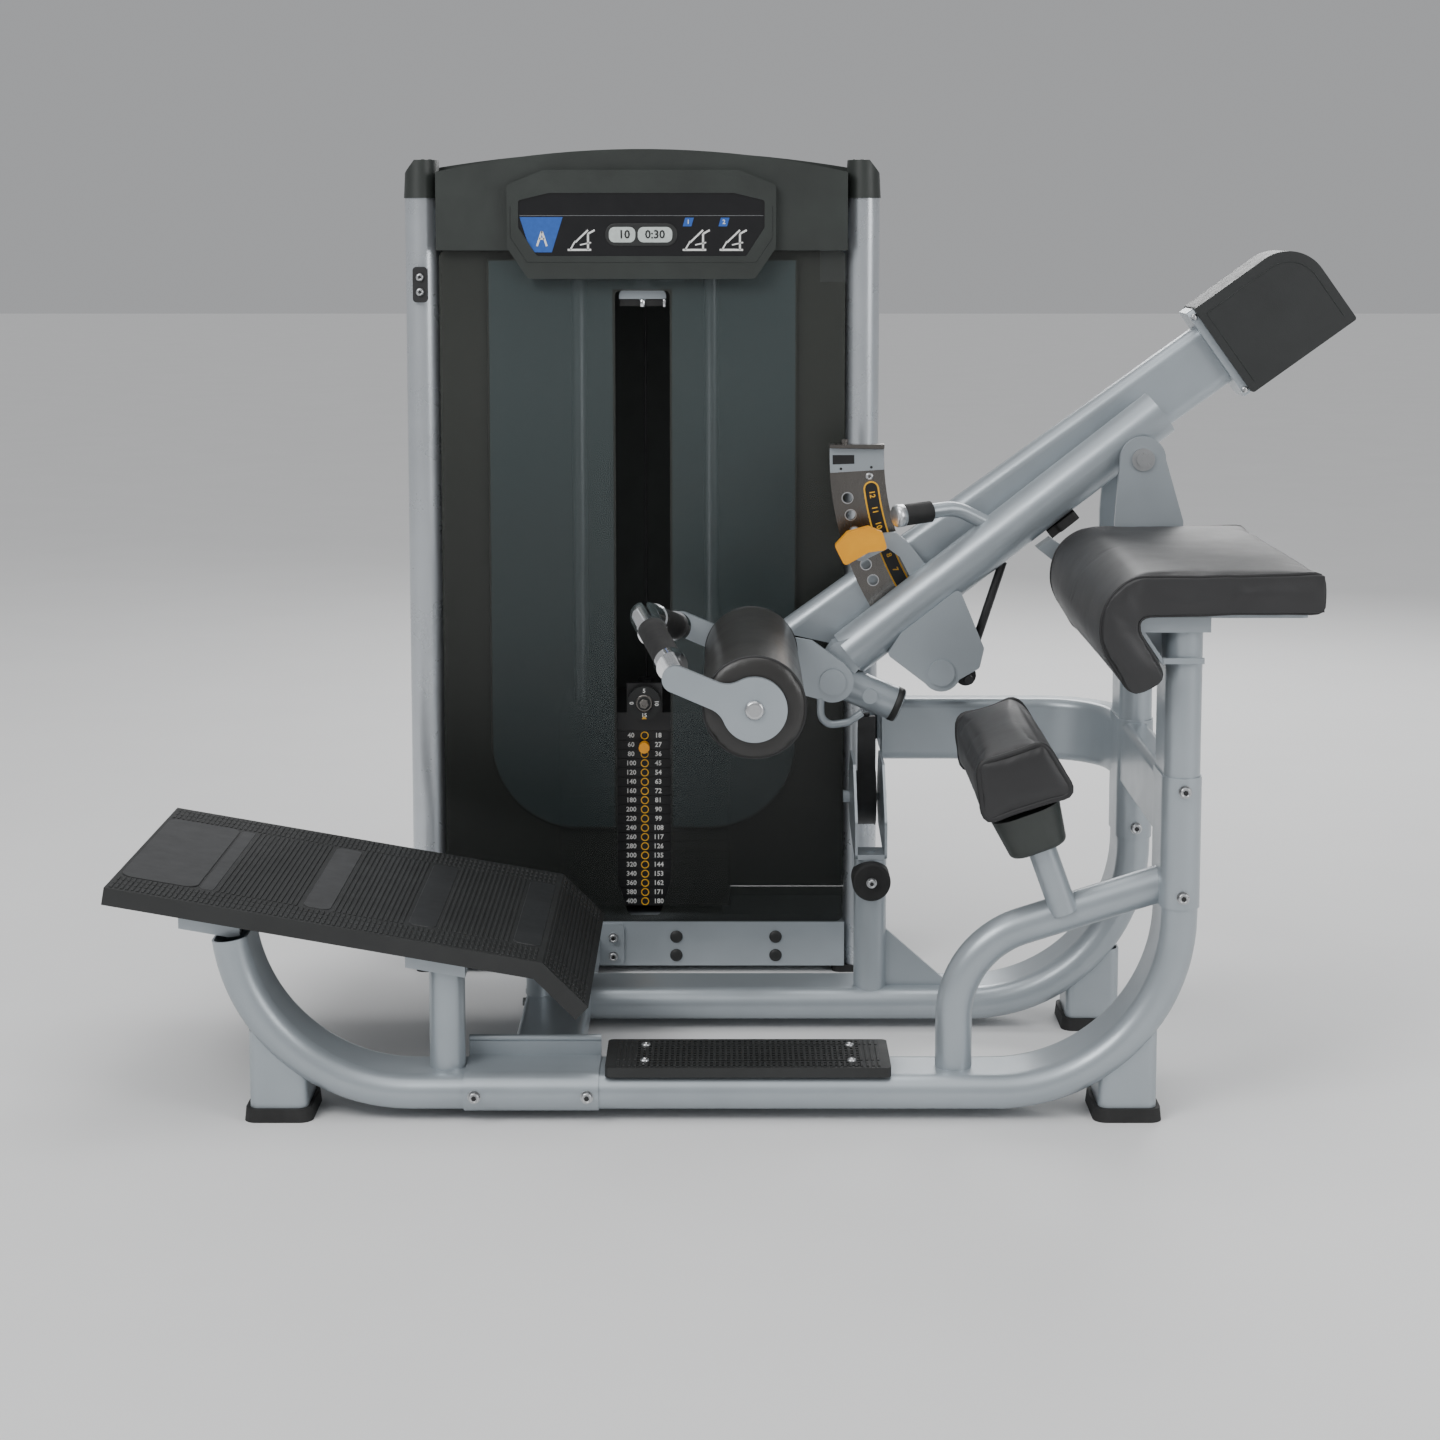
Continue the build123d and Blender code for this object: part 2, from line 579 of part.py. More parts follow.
# Pivot fork: two arched plates on a box that hangs on the far column.
FORK_NEAR = (25.0, 35.0)
FORK_FAR = (190.0, 200.0)
FORK_BASE = (547.0, 655.0)
FORK_SIDES = [(FORK_BASE[0], 790), (FORK_BASE[0], 560), (FORK_BASE[1] - 30, 560), (FORK_BASE[1], 640),
              (FORK_BASE[1], 790), (PIVOT_X + 36, PIVOT_Z), (PIVOT_X - 36, PIVOT_Z)]
with BuildPart() as pivot_fork:
    for plate_near, plate_far in (FORK_NEAR, FORK_FAR):
        add(slab(FORK_SIDES, plate_near, plate_far))
        add(pin(PIVOT_X, PIVOT_Z, 36, plate_near, plate_far))
    add(block(FORK_BASE[0] + 6, FORK_BASE[1] - 40, 24, 196, 620, 690, 6))
    # Bracket that reaches under the arm and carries the rubber stop.
    add(slab([(430, 742), (560, 640), (560, 686), (452, 758)], ARM_Y - 20, ARM_Y + 20))
    with BuildSketch(Plane.XY.offset(500)):
        with Locations((COLUMN_X, FAR_Y)):
            SlotOverall(RAIL_WIDTH, RAIL_HEIGHT, rotation=90)
    extrude(amount=COLUMN_TOP - 500, mode=Mode.SUBTRACT)
    add(pin(PIVOT_X, PIVOT_Z, BORE_R, 0, 220), mode=Mode.SUBTRACT)
save(pivot_fork.part, "pivot_fork")

with BuildPart() as pivot_shaft:
    add(pin(PIVOT_X, PIVOT_Z, BORE_R, FORK_NEAR[0], FORK_NEAR[1]))
    add(pin(PIVOT_X, PIVOT_Z, SHAFT_R, FORK_NEAR[1], FORK_FAR[0]))
    add(pin(PIVOT_X, PIVOT_Z, BORE_R, FORK_FAR[0], FORK_FAR[1]))
    add(pin(PIVOT_X, PIVOT_Z, 18, FORK_NEAR[0] - 4, FORK_NEAR[0]))
    add(pin(PIVOT_X, PIVOT_Z, 11, FORK_NEAR[0] - 9, FORK_NEAR[0] - 4))
    add(pin(PIVOT_X, PIVOT_Z, 18, FORK_FAR[1], FORK_FAR[1] + 6))
save(pivot_shaft.part, "pivot_shaft")


# ------------------------------------------------------------------- user arm
def arm_point(distance, rise):
    """Point at this distance along the arm tube from its low end, this far above its centreline."""
    dx = ARM_HIGH[0] - ARM_LOW[0]
    dz = ARM_HIGH[1] - ARM_LOW[1]
    length = (dx * dx + dz * dz) ** 0.5
    return (
        ARM_LOW[0] + (distance * dx - rise * dz) / length,
        ARM_LOW[1] + (distance * dz + rise * dx) / length,
    )


ARM_LENGTH = ((ARM_HIGH[0] - ARM_LOW[0]) ** 2 + (ARM_HIGH[1] - ARM_LOW[1]) ** 2) ** 0.5
HUB_R = 34.0
ARM_FAR_Y = ARM_Y + ARM_R
ARM_NEAR_Y = ARM_Y - ARM_R
PIN_ANGLE = radians(SECTOR_FIRST + PIN_HOLE * SECTOR_PITCH)
PIN_X = PIVOT_X - SECTOR_R * cos(PIN_ANGLE)
PIN_Z = PIVOT_Z - SECTOR_R * sin(PIN_ANGLE)
PIN_R = 7.0
END_WALL = 4.0
SECTOR_NEAR_Y = 121.5
SECTOR_FAR_Y = 130.0


def arm_bar(start, end, radius):
    """A round bar on the arm tube's centre line, between two distances along it."""
    low = arm_point(start, 0)
    high = arm_point(end, 0)
    return along([(low[0], ARM_Y, low[1]), (high[0], ARM_Y, high[1])], None, radius)


ARM_SOLID = arm_bar(0, ARM_LENGTH, ARM_R)
with BuildPart() as user_tube:
    add(ARM_SOLID)
    add(arm_bar(END_WALL, ARM_LENGTH - END_WALL, ARM_R - WALL), mode=Mode.SUBTRACT)
    add(pin(PIVOT_X, PIVOT_Z, HUB_R, ARM_NEAR_Y, ARM_FAR_Y))
    # Bent flat bar that carries the position pin in front of the sector plate.
    add(slab([
        arm_point(150, 20), arm_point(185, 20), (PIN_X + 76, PIN_Z + 13), (PIN_X + 56, PIN_Z + 29),
        (PIN_X, PIN_Z + 24), (PIN_X - 18, PIN_Z + 12), (PIN_X - 17, PIN_Z - 13), (PIN_X + 9, PIN_Z - 15),
        (PIN_X + 44, PIN_Z + 3), (PIN_X + 63, PIN_Z - 11),
    ], ARM_Y + 16, ARM_Y + 28))
    add(pin(PIN_X, PIN_Z, 15, ARM_Y - 4, ARM_Y + 34))
    add(pin(PIN_X, PIN_Z, PIN_R + FIT, 0, 140), mode=Mode.SUBTRACT)
    add(pin(PIVOT_X, PIVOT_Z, BORE_R, 0, 220), mode=Mode.SUBTRACT)
save(user_tube.part, "user_tube")

with BuildPart() as position_pin:
    add(pin(PIN_X, PIN_Z, PIN_R, ARM_Y - 14, SECTOR_NEAR_Y - 0.4))
save(position_pin.part, "position_pin")

HANDLE_OUTLINE = [(106, 748), (126, 770), (160, 779), (182, 770), (190, 742), (160, 738), (122, 716)]
with BuildPart() as pin_handle:
    add(slab(HANDLE_OUTLINE, ARM_Y - 36, ARM_Y - 14, 6))
save(pin_handle.part, "pin_handle")

# Adjuster bracket welded below the tube, with its rounded end and bushing cap.
BRACKET_CAP = (277.0, 543.0)
BRACKET_OUTLINE = [
    arm_point(88, -20), arm_point(205, -20), (345, 584), (338, 552), (300, 530), (258, 522), (190, 574),
]
with BuildPart() as adjuster_bracket:
    add(slab(BRACKET_OUTLINE, ARM_Y - 36, ARM_Y + 24, 8))
    add(pin(BRACKET_CAP[0], BRACKET_CAP[1] + 2, 31, ARM_Y - 36, ARM_Y + 24))
    add(pin(BRACKET_CAP[0], BRACKET_CAP[1] + 2, 21, ARM_Y - 41, ARM_Y - 36))
    add(pin(300, 566, 60, ARM_Y - 28, ARM_Y + 16), mode=Mode.SUBTRACT)
    add(pin(BRACKET_CAP[0], BRACKET_CAP[1] + 2, 12, ARM_Y - 36, ARM_Y + 24))
    add(ARM_SOLID, mode=Mode.SUBTRACT)
    add(pin(PIN_X, PIN_Z, 16, 0, 140), mode=Mode.SUBTRACT)
bracket_solids = [s for s in adjuster_bracket.part.solids() if s.volume > 3000]
save(Compound(children=bracket_solids), "adjuster_bracket")

STRUT_LOW = (318.0, 536.0)
STRUT_HIGH = (377.0, 719.0)
with BuildPart() as arm_strut:
    add(along([
        (STRUT_LOW[0], ARM_Y, STRUT_LOW[1]), (STRUT_HIGH[0], ARM_Y, STRUT_HIGH[1]),
    ], None, 7))
    add(pin(STRUT_LOW[0], STRUT_LOW[1], 17, ARM_Y - 10, ARM_Y + 10))
    add(pin(STRUT_LOW[0] + 4, STRUT_LOW[1] - 4, 7, ARM_Y - 34, ARM_Y + 16))
    add(ARM_SOLID, mode=Mode.SUBTRACT)
    add(adjuster_bracket.part, mode=Mode.SUBTRACT)
strut_solids = sorted(arm_strut.part.solids(), key=lambda s: s.volume)
save(Compound(children=[s for s in strut_solids if s.volume > 2000]), "arm_strut")

# Assist handle above the tube, and its grip.
HANDLE_R = 12.0
GRIP_R = 17.0
HANDLE_PATH = [(372.0, ARM_Y, 770.0), (300.0, ARM_Y - 6, 806.0), (206.0, ARM_Y - 50, 798.0)]
with BuildPart() as assist_handle:
    add(along(HANDLE_PATH, [60], HANDLE_R))
    add(ARM_SOLID, mode=Mode.SUBTRACT)
handle_solids = sorted(assist_handle.part.solids(), key=lambda s: s.center().X)
save(handle_solids[0], "assist_handle")

grip_start = Vector(*HANDLE_PATH[2])
grip_way = (Vector(*HANDLE_PATH[1]) - grip_start).normalized()
with BuildPart() as assist_grip:
    with BuildSketch(Plane(origin=grip_start - grip_way * 5, z_dir=grip_way)):
        Circle(GRIP_R)
    extrude(amount=62)
    add(handle_solids[0], mode=Mode.SUBTRACT)
save(assist_grip.part, "assist_grip")

# Stub tube that carries the belt, with the boss for the roller carriage.
STUB_END = (212.0, 507.4)
STUB_R = 27.5
BELT_PIN = (163.0, 508.0)
BELT_Y = FRONT_Y - FRONT_R - BELT_THICK / 2 - BELT_GAP
STUB_Y = 66.0
with BuildPart() as stub_tube:
    add(along([(CARRIER_X, STUB_Y, CARRIER_Z), (STUB_END[0], STUB_Y, STUB_END[1] - 20)], None, STUB_R))
    add(pin(CARRIER_X, CARRIER_Z, 30, 33, 100))
    add(slab([
        (CARRIER_X - 24, CARRIER_Z + 18), (CARRIER_X + 30, CARRIER_Z), (154, 560), (131, 600), (104, 590),
    ], 50, 98))
    add(pin(BELT_PIN[0], BELT_PIN[1], 12, STUB_Y - STUB_R - 4, STUB_Y))
    add(user_tube.part, mode=Mode.SUBTRACT)
    add(ARM_SOLID, mode=Mode.SUBTRACT)
    add(adjuster_bracket.part, mode=Mode.SUBTRACT)
    add(pin(CARRIER_X, CARRIER_Z, BOSS_R + FIT, 20, 80), mode=Mode.SUBTRACT)
stub_solids = sorted(stub_tube.part.solids(), key=lambda s: s.volume)
save(stub_solids[-1], "stub_tube")

# ------------------------------------------------------------------ lever arm
BEAM_DIR = (cos(radians(BEAM_SLOPE)), sin(radians(BEAM_SLOPE)))


def beam_point(distance, rise):
    """Point along the beam from the pivot, this far above the beam's lower edge."""
    return (
        PIVOT_X + distance * BEAM_DIR[0] - rise * BEAM_DIR[1],
        PIVOT_Z + distance * BEAM_DIR[1] + rise * BEAM_DIR[0],
    )


BEAM_MID_Y = (BEAM_NEAR_Y + BEAM_FAR_Y) / 2
BEAM_END_PLATE = 12.0
# The beam's low end is cut back so that it passes over the side rail at its lowest setting.
BEAM_TRIM = 96.0
BEAM_PLATE_SPAN = 165.0
with BuildPart() as lever_beam:
    beam_mid = beam_point(BEAM_LOW, BEAM_DEPTH / 2)
    with BuildSketch(Plane(
        origin=(beam_mid[0], BEAM_MID_Y, beam_mid[1]), x_dir=(0, 1, 0), z_dir=(BEAM_DIR[0], 0, BEAM_DIR[1]),
    )):
        RectangleRounded(BEAM_FAR_Y - BEAM_NEAR_Y, BEAM_DEPTH, 20)
    extrude(amount=BEAM_HIGH - BEAM_LOW)
    add(slab([
        beam_point(BEAM_LOW - 1, -1), beam_point(BEAM_LOW + BEAM_TRIM, -1), beam_point(BEAM_LOW - 1, BEAM_DEPTH + 1),
    ], BEAM_NEAR_Y - 1, BEAM_FAR_Y + 1), mode=Mode.SUBTRACT)
    hollow_start = beam_point(BEAM_LOW + BEAM_TRIM + END_WALL, BEAM_DEPTH / 2)
    with BuildSketch(Plane(
        origin=(hollow_start[0], BEAM_MID_Y, hollow_start[1]), x_dir=(0, 1, 0), z_dir=(BEAM_DIR[0], 0, BEAM_DIR[1]),
    )):
        RectangleRounded(BEAM_FAR_Y - BEAM_NEAR_Y - 2 * WALL, BEAM_DEPTH - 2 * WALL, 17)
    extrude(amount=BEAM_HIGH - BEAM_LOW, mode=Mode.SUBTRACT)
    add(pin(PIVOT_X, PIVOT_Z, 40, BEAM_NEAR_Y, BEAM_FAR_Y))
    plate_mid = beam_point(BEAM_HIGH, BEAM_DEPTH / 2)
    with BuildSketch(Plane(
        origin=(plate_mid[0], BEAM_MID_Y, plate_mid[1]), x_dir=(0, 1, 0), z_dir=(BEAM_DIR[0], 0, BEAM_DIR[1]),
    )):
        RectangleRounded(86, BEAM_PLATE_SPAN, 12)
    extrude(amount=BEAM_END_PLATE)
    add(pin(PIVOT_X, PIVOT_Z, BORE_R, 0, 220), mode=Mode.SUBTRACT)
save(lever_beam.part, "lever_beam")

# Counterweight housing on the beam's end plate.
WEIGHT_START = BEAM_HIGH + BEAM_END_PLATE
WEIGHT_LENGTH = 202.5
WEIGHT_Y = (105.0, 207.0)
weight_outline = [
    beam_point(WEIGHT_START, -29), beam_point(WEIGHT_START, 136),
    beam_point(WEIGHT_START + WEIGHT_LENGTH, 136), beam_point(WEIGHT_START + WEIGHT_LENGTH, -29),
]
with BuildPart() as counterweight:
    with BuildSketch(side(WEIGHT_Y[1])) as weight_sketch:
        with BuildLine():
            Polyline(*weight_outline, close=True)
        make_face()
        fillet(weight_sketch.vertices().sort_by_distance(weight_outline[2])[0], 66)
        for sharp in (0, 1, 3):
            fillet(weight_sketch.vertices().sort_by_distance(weight_outline[sharp])[0], 5)
    extrude(amount=WEIGHT_Y[1] - WEIGHT_Y[0])
save(counterweight.part, "counterweight")

# Sector plate with the position holes, on the front of the beam.
SECTOR_OUT = SECTOR_R + 24
SECTOR_IN = SECTOR_R - 64
with BuildPart() as sector_plate:
    with BuildSketch(side(SECTOR_FAR_Y)):
        with BuildLine():
            outer = CenterArc((PIVOT_X, PIVOT_Z), SECTOR_OUT, 178.5, 43.5)
            inner_arc = CenterArc((PIVOT_X, PIVOT_Z), SECTOR_IN, 178.5, 43.5)
            Line(outer @ 0, inner_arc @ 0)
            Line(outer @ 1, inner_arc @ 1)
        make_face()
        for hole in range(SECTOR_HOLES):
            hole_angle = radians(SECTOR_FIRST + hole * SECTOR_PITCH)
            with Locations((PIVOT_X - SECTOR_R * cos(hole_angle), PIVOT_Z - SECTOR_R * sin(hole_angle))):
                Circle(8.0, mode=Mode.SUBTRACT)
    extrude(amount=SECTOR_FAR_Y - SECTOR_NEAR_Y)
    add(block(PIVOT_X - SECTOR_OUT, PIVOT_X - SECTOR_IN, SECTOR_NEAR_Y - 12, SECTOR_FAR_Y, PIVOT_Z + 10, PIVOT_Z + 16))
    add(post(PIVOT_X - SECTOR_R, SECTOR_NEAR_Y - 2, 6, PIVOT_Z + 16, PIVOT_Z + 24))
save(sector_plate.part, "sector_plate")

# ------------------------------------------------------- carriage and roller
LINK_LOBE = 46.0
LINK_NEAR = (-492.0, -482.0)
LINK_FAR = (8.0, 18.0)
with BuildPart() as carrier_plate:
    add(slab([
        (ROLLER_X + 2, ROLLER_Z + 30), (70, 600), (CARRIER_X + 20, CARRIER_Z + 28),
        (CARRIER_X - 4, CARRIER_Z - 33), (60, 512), (ROLLER_X - 10, ROLLER_Z - 30),
    ], 20, 30))
    add(pin(CARRIER_X, CARRIER_Z, 33, 20, 30))
    add(pin(ROLLER_X, ROLLER_Z, 32, 20, 30))
    add(pin(CARRIER_X, CARRIER_Z, BOSS_R, 20, 78))
    add(pin(CARRIER_X, CARRIER_Z, 21, 16, 20))
    add(along([(84, 25, 508), (84, 25, 462), (128, 25, 468), (150, 25, 484)], [20, 20], 6))
    add(pin(ROLLER_X, ROLLER_Z, BOSS_R, 0, 40), mode=Mode.SUBTRACT)
save(carrier_plate.part, "carrier_plate")

with BuildPart() as roller_axle:
    add(pin(ROLLER_X, ROLLER_Z, BOSS_R, LINK_NEAR[0], 30))
    add(pin(ROLLER_X, ROLLER_Z, 14, LINK_NEAR[0] - 6, LINK_NEAR[0]))
    fillet(roller_axle.faces().sort_by(Axis.Y)[0].edges(), 5)
save(roller_axle.part, "roller_axle")

with BuildPart() as link_plates:
    for link_near, link_far in (LINK_NEAR, LINK_FAR):
        with BuildSketch(side(link_far)) as link_outline:
            with Locations((ROLLER_X, ROLLER_Z)):
                Circle(LINK_LOBE)
            with Locations((GRIP_X, GRIP_Z)):
                Circle(19)
            with BuildLine():
                Polyline(
                    (ROLLER_X - 22, ROLLER_Z + 27), (GRIP_X + 6, GRIP_Z + 18),
                    (GRIP_X - 8, GRIP_Z - 17), (ROLLER_X - 30, ROLLER_Z - 12), close=True,
                )
            make_face()
            neck = [
                corner for corner in link_outline.vertices()
                if abs((Vector(corner.X, corner.Y) - Vector(ROLLER_X, ROLLER_Z)).length - LINK_LOBE) < 0.5
            ]
            fillet(neck, 34)
        extrude(amount=link_far - link_near)
    add(pin(ROLLER_X, ROLLER_Z, BOSS_R, -600, 100), mode=Mode.SUBTRACT)
save(link_plates.part, "link_plates")

ROLL_HANDLE_R = 13.0
ROLL_GRIP_R = 20.0
ELBOW_R = 21.0
# Distances along each handle from its bend at the link: collar, grip, second collar, elbow.
GRIP_STEPS = (24.0, 40.0, 150.0, 158.0)
ELBOW = (-190.0, -237.0, 682.0)


def handle_ring(start, end, first, second, radius, bore=0.0):
    """A ring on the straight run from start towards end, between two distances."""
    line = (Vector(*end) - Vector(*start)).normalized()
    with BuildPart() as ring:
        with BuildSketch(Plane(origin=Vector(*start) + line * first, z_dir=line)):
            Circle(radius)
            if bore:
                Circle(bore, mode=Mode.SUBTRACT)
        extrude(amount=second - first)
    return ring.part


def run_point(start, end, distance):
    """Point at this distance from start towards end."""
    return tuple(Vector(*start) + (Vector(*end) - Vector(*start)).normalized() * distance)


HANDLE_BENDS = ((GRIP_X, -440, GRIP_Z), (GRIP_X, -34, GRIP_Z))
handle_near = (GRIP_X, LINK_NEAR[1], GRIP_Z)
handle_far = (GRIP_X, LINK_FAR[0], GRIP_Z)
with BuildPart() as handle_bar:
    add(along([handle_near, HANDLE_BENDS[0], ELBOW, HANDLE_BENDS[1], handle_far], [20, 45, 20], ROLL_HANDLE_R))
    for bend in HANDLE_BENDS:
        add(handle_ring(bend, ELBOW, GRIP_STEPS[0], GRIP_STEPS[1], 23))
        add(handle_ring(bend, ELBOW, GRIP_STEPS[2], GRIP_STEPS[3], 22.5))
    add(along([
        run_point(HANDLE_BENDS[0], ELBOW, GRIP_STEPS[3]), ELBOW, run_point(HANDLE_BENDS[1], ELBOW, GRIP_STEPS[3]),
    ], [45], ELBOW_R))
save(handle_bar.part, "handle_bar")

with BuildPart() as handle_grips:
    for bend in HANDLE_BENDS:
        add(handle_ring(bend, ELBOW, GRIP_STEPS[1], GRIP_STEPS[2], ROLL_GRIP_R, ROLL_HANDLE_R))
save(handle_grips.part, "handle_grips")

with BuildPart() as roller_pad:
    add(pin(ROLLER_X, ROLLER_Z, ROLLER_R, ROLLER_NEAR_Y, ROLLER_FAR_Y))
    fillet(roller_pad.edges().filter_by(GeomType.CIRCLE), 10)
    add(pin(ROLLER_X, ROLLER_Z, BOSS_R + FIT, -600, 100), mode=Mode.SUBTRACT)
save(roller_pad.part, "roller_pad")

# ---------------------------------------------------------------------- tower
POST_X = (TOWER_X - POST_SPAN / 2, TOWER_X + POST_SPAN / 2)
POST_MID_Y = (POST_NEAR_Y + POST_FAR_Y) / 2
BELT_LOW_Z = FRONT_Z - FRONT_R - BELT_THICK / 2 - BELT_GAP
REAR_PULLEY_Y = CABLE_Y - REAR_PULLEY_R - BELT_THICK / 2 - BELT_GAP
REAR_PULLEY_Z = BELT_LOW_Z + REAR_PULLEY_R + BELT_THICK / 2 + BELT_GAP
with BuildPart() as tower_posts:
    for tower_post_x in POST_X:
        with BuildSketch(Plane.XY.offset(POST_BOTTOM)):
            with Locations((tower_post_x, POST_MID_Y)):
                SlotOverall(POST_FAR_Y - POST_NEAR_Y, POST_WIDTH, rotation=90)
                SlotOverall(POST_FAR_Y - POST_NEAR_Y - 5, POST_WIDTH - 5, rotation=90, mode=Mode.SUBTRACT)
        extrude(amount=POST_TOP - POST_BOTTOM)
    # Cheeks and axle for the rear pulley, on the back of the belt-side post.
    for cheek_side in (-1, 1):
        cheek_x = BELT_X + cheek_side * 19.5
        add(block(cheek_x - 2, cheek_x + 2, POST_FAR_Y - 12, REAR_PULLEY_Y + 14,
                  REAR_PULLEY_Z - 16, REAR_PULLEY_Z + 16))
    add(axle(REAR_PULLEY_Y, REAR_PULLEY_Z, AXLE_R, BELT_X - 21, BELT_X + 21))
    # Window through which the belt passes into the tower.
    window_x = BELT_WIDTH / 2 + 3
    add(block(BELT_X - window_x, BELT_X + window_x, 200, 340, BELT_LOW_Z - 12, BELT_LOW_Z + 12), mode=Mode.SUBTRACT)
    add(side_rail_end.part, mode=Mode.SUBTRACT)
save(tower_posts.part, "tower_posts")

BASE_IN = POST_WIDTH / 2
with BuildPart() as tower_base:
    add(block(POST_X[0] + BASE_IN, POST_X[1] - BASE_IN, POST_NEAR_Y, POST_NEAR_Y + 50, POST_BOTTOM, BASE_TOP))
    add(block(POST_X[0] - BASE_IN, POST_X[1] + BASE_IN, TOWER_BACK - 70, TOWER_BACK - 10, POST_BOTTOM, BASE_TOP - 20))
    for tower_post_x in POST_X:
        add(block(tower_post_x - 22, tower_post_x + 22, POST_FAR_Y, TOWER_BACK - 60, POST_BOTTOM, BASE_TOP - 20))
    # Shelf that the stack stands on.
    add(block(TOWER_X - 130, TOWER_X + 130, POST_NEAR_Y + 50, TOWER_BACK - 60, BASE_TOP - 30, BASE_TOP))
    for rod_side in (-1, 1):
        rod_x = TOWER_X + rod_side * ROD_OFFSET
        add(post(rod_x, CABLE_Y, 24, BASE_TOP, STACK_BOTTOM))
    for rod_side in (-1, 1):
        rod_x = TOWER_X + rod_side * ROD_OFFSET
        add(post(rod_x, CABLE_Y, ROD_R, BASE_TOP - 30, STACK_BOTTOM + 1), mode=Mode.SUBTRACT)
save(tower_base.part, "tower_base")

HEAD_Z = (1232.0, 1282.0)
HEAD_PULLEY_R = 42.0
HEAD_PULLEY_Z = 1180.0
ROD_TOP = 1212.0
HEAD_X = (TOWER_X + HEAD_PULLEY_R + 2.5, BELT_X - HEAD_PULLEY_R - 2.5)
with BuildPart() as tower_head:
    add(block(POST_X[0] + BASE_IN, POST_X[1] - BASE_IN, POST_NEAR_Y + 20, POST_NEAR_Y + 70, HEAD_Z[0], HEAD_Z[1]))
    add(block(TOWER_X - 150, BELT_X - 30, CABLE_Y - 25, CABLE_Y + 25, HEAD_Z[0] + 10, HEAD_Z[1]))
    for arm_x in (TOWER_X - 130, BELT_X - 80):
        add(block(arm_x - 20, arm_x + 20, POST_NEAR_Y + 70, CABLE_Y - 25, HEAD_Z[0], HEAD_Z[1]))
    for head_x in HEAD_X:
        for cheek in (CABLE_Y - 20, CABLE_Y + 14):
            add(block(head_x - 22, head_x + 22, cheek, cheek + 6, HEAD_PULLEY_Z - 22, HEAD_Z[0] + 12))
    for rod_x in (TOWER_X - ROD_OFFSET, TOWER_X + ROD_OFFSET):
        add(block(rod_x - 17, rod_x + 17, CABLE_Y - 17, CABLE_Y + 40, ROD_TOP - 18, ROD_TOP + 4))
        add(block(rod_x - 17, rod_x + 17, CABLE_Y + 16, CABLE_Y + 40, ROD_TOP + 4, HEAD_Z[1]))
        add(post(rod_x, CABLE_Y, ROD_R, ROD_TOP - 30, ROD_TOP), mode=Mode.SUBTRACT)
    for head_x in HEAD_X:
        add(pin(head_x, HEAD_PULLEY_Z, AXLE_R, CABLE_Y - 20, CABLE_Y + 20))
save(tower_head.part, "tower_head")

for head_x, head_name in zip(HEAD_X, ("head_pulley_left", "head_pulley_right")):
    with BuildPart() as head_pulley:
        add(pin(head_x, HEAD_PULLEY_Z, HEAD_PULLEY_R - 0.3, CABLE_Y - 9, CABLE_Y + 9))
        for rim in (CABLE_Y - 12, CABLE_Y + 9):
            add(pin(head_x, HEAD_PULLEY_Z, HEAD_PULLEY_R + 7, rim, rim + 3))
        add(pin(head_x, HEAD_PULLEY_Z, AXLE_R + FIT, CABLE_Y - 24, CABLE_Y + 24), mode=Mode.SUBTRACT)
    save(head_pulley.part, head_name)

with BuildPart() as guide_rods:
    for rod_side in (-1, 1):
        add(post(TOWER_X + rod_side * ROD_OFFSET, CABLE_Y, ROD_R, BASE_TOP - 30, ROD_TOP))
save(guide_rods.part, "guide_rods")

# Weight plates: the resting stack, and the moving carriage with the plates it lifts.
ROD_CLEAR_R = 13.5
STEM_R = 13.0


def plate_box(bottom, height):
    """One drilled steel plate of the stack."""
    with BuildPart() as plate:
        with BuildSketch(Plane.XY.offset(bottom)):
            with Locations((TOWER_X, (STACK_NEAR_Y + STACK_FAR_Y) / 2)):
                RectangleRounded(STACK_WIDTH, STACK_FAR_Y - STACK_NEAR_Y, 6)
            with Locations(
                (TOWER_X - ROD_OFFSET, CABLE_Y), (TOWER_X, CABLE_Y), (TOWER_X + ROD_OFFSET, CABLE_Y),
            ):
                Circle(ROD_CLEAR_R, mode=Mode.SUBTRACT)
        extrude(amount=height)
    return plate.part


with BuildPart() as resting_plates:
    for level in range(PLATES - LIFTED):
        add(plate_box(STACK_BOTTOM + level * PLATE_PITCH, PLATE_PITCH - PLATE_GAP))
save(resting_plates.part, "resting_plates")

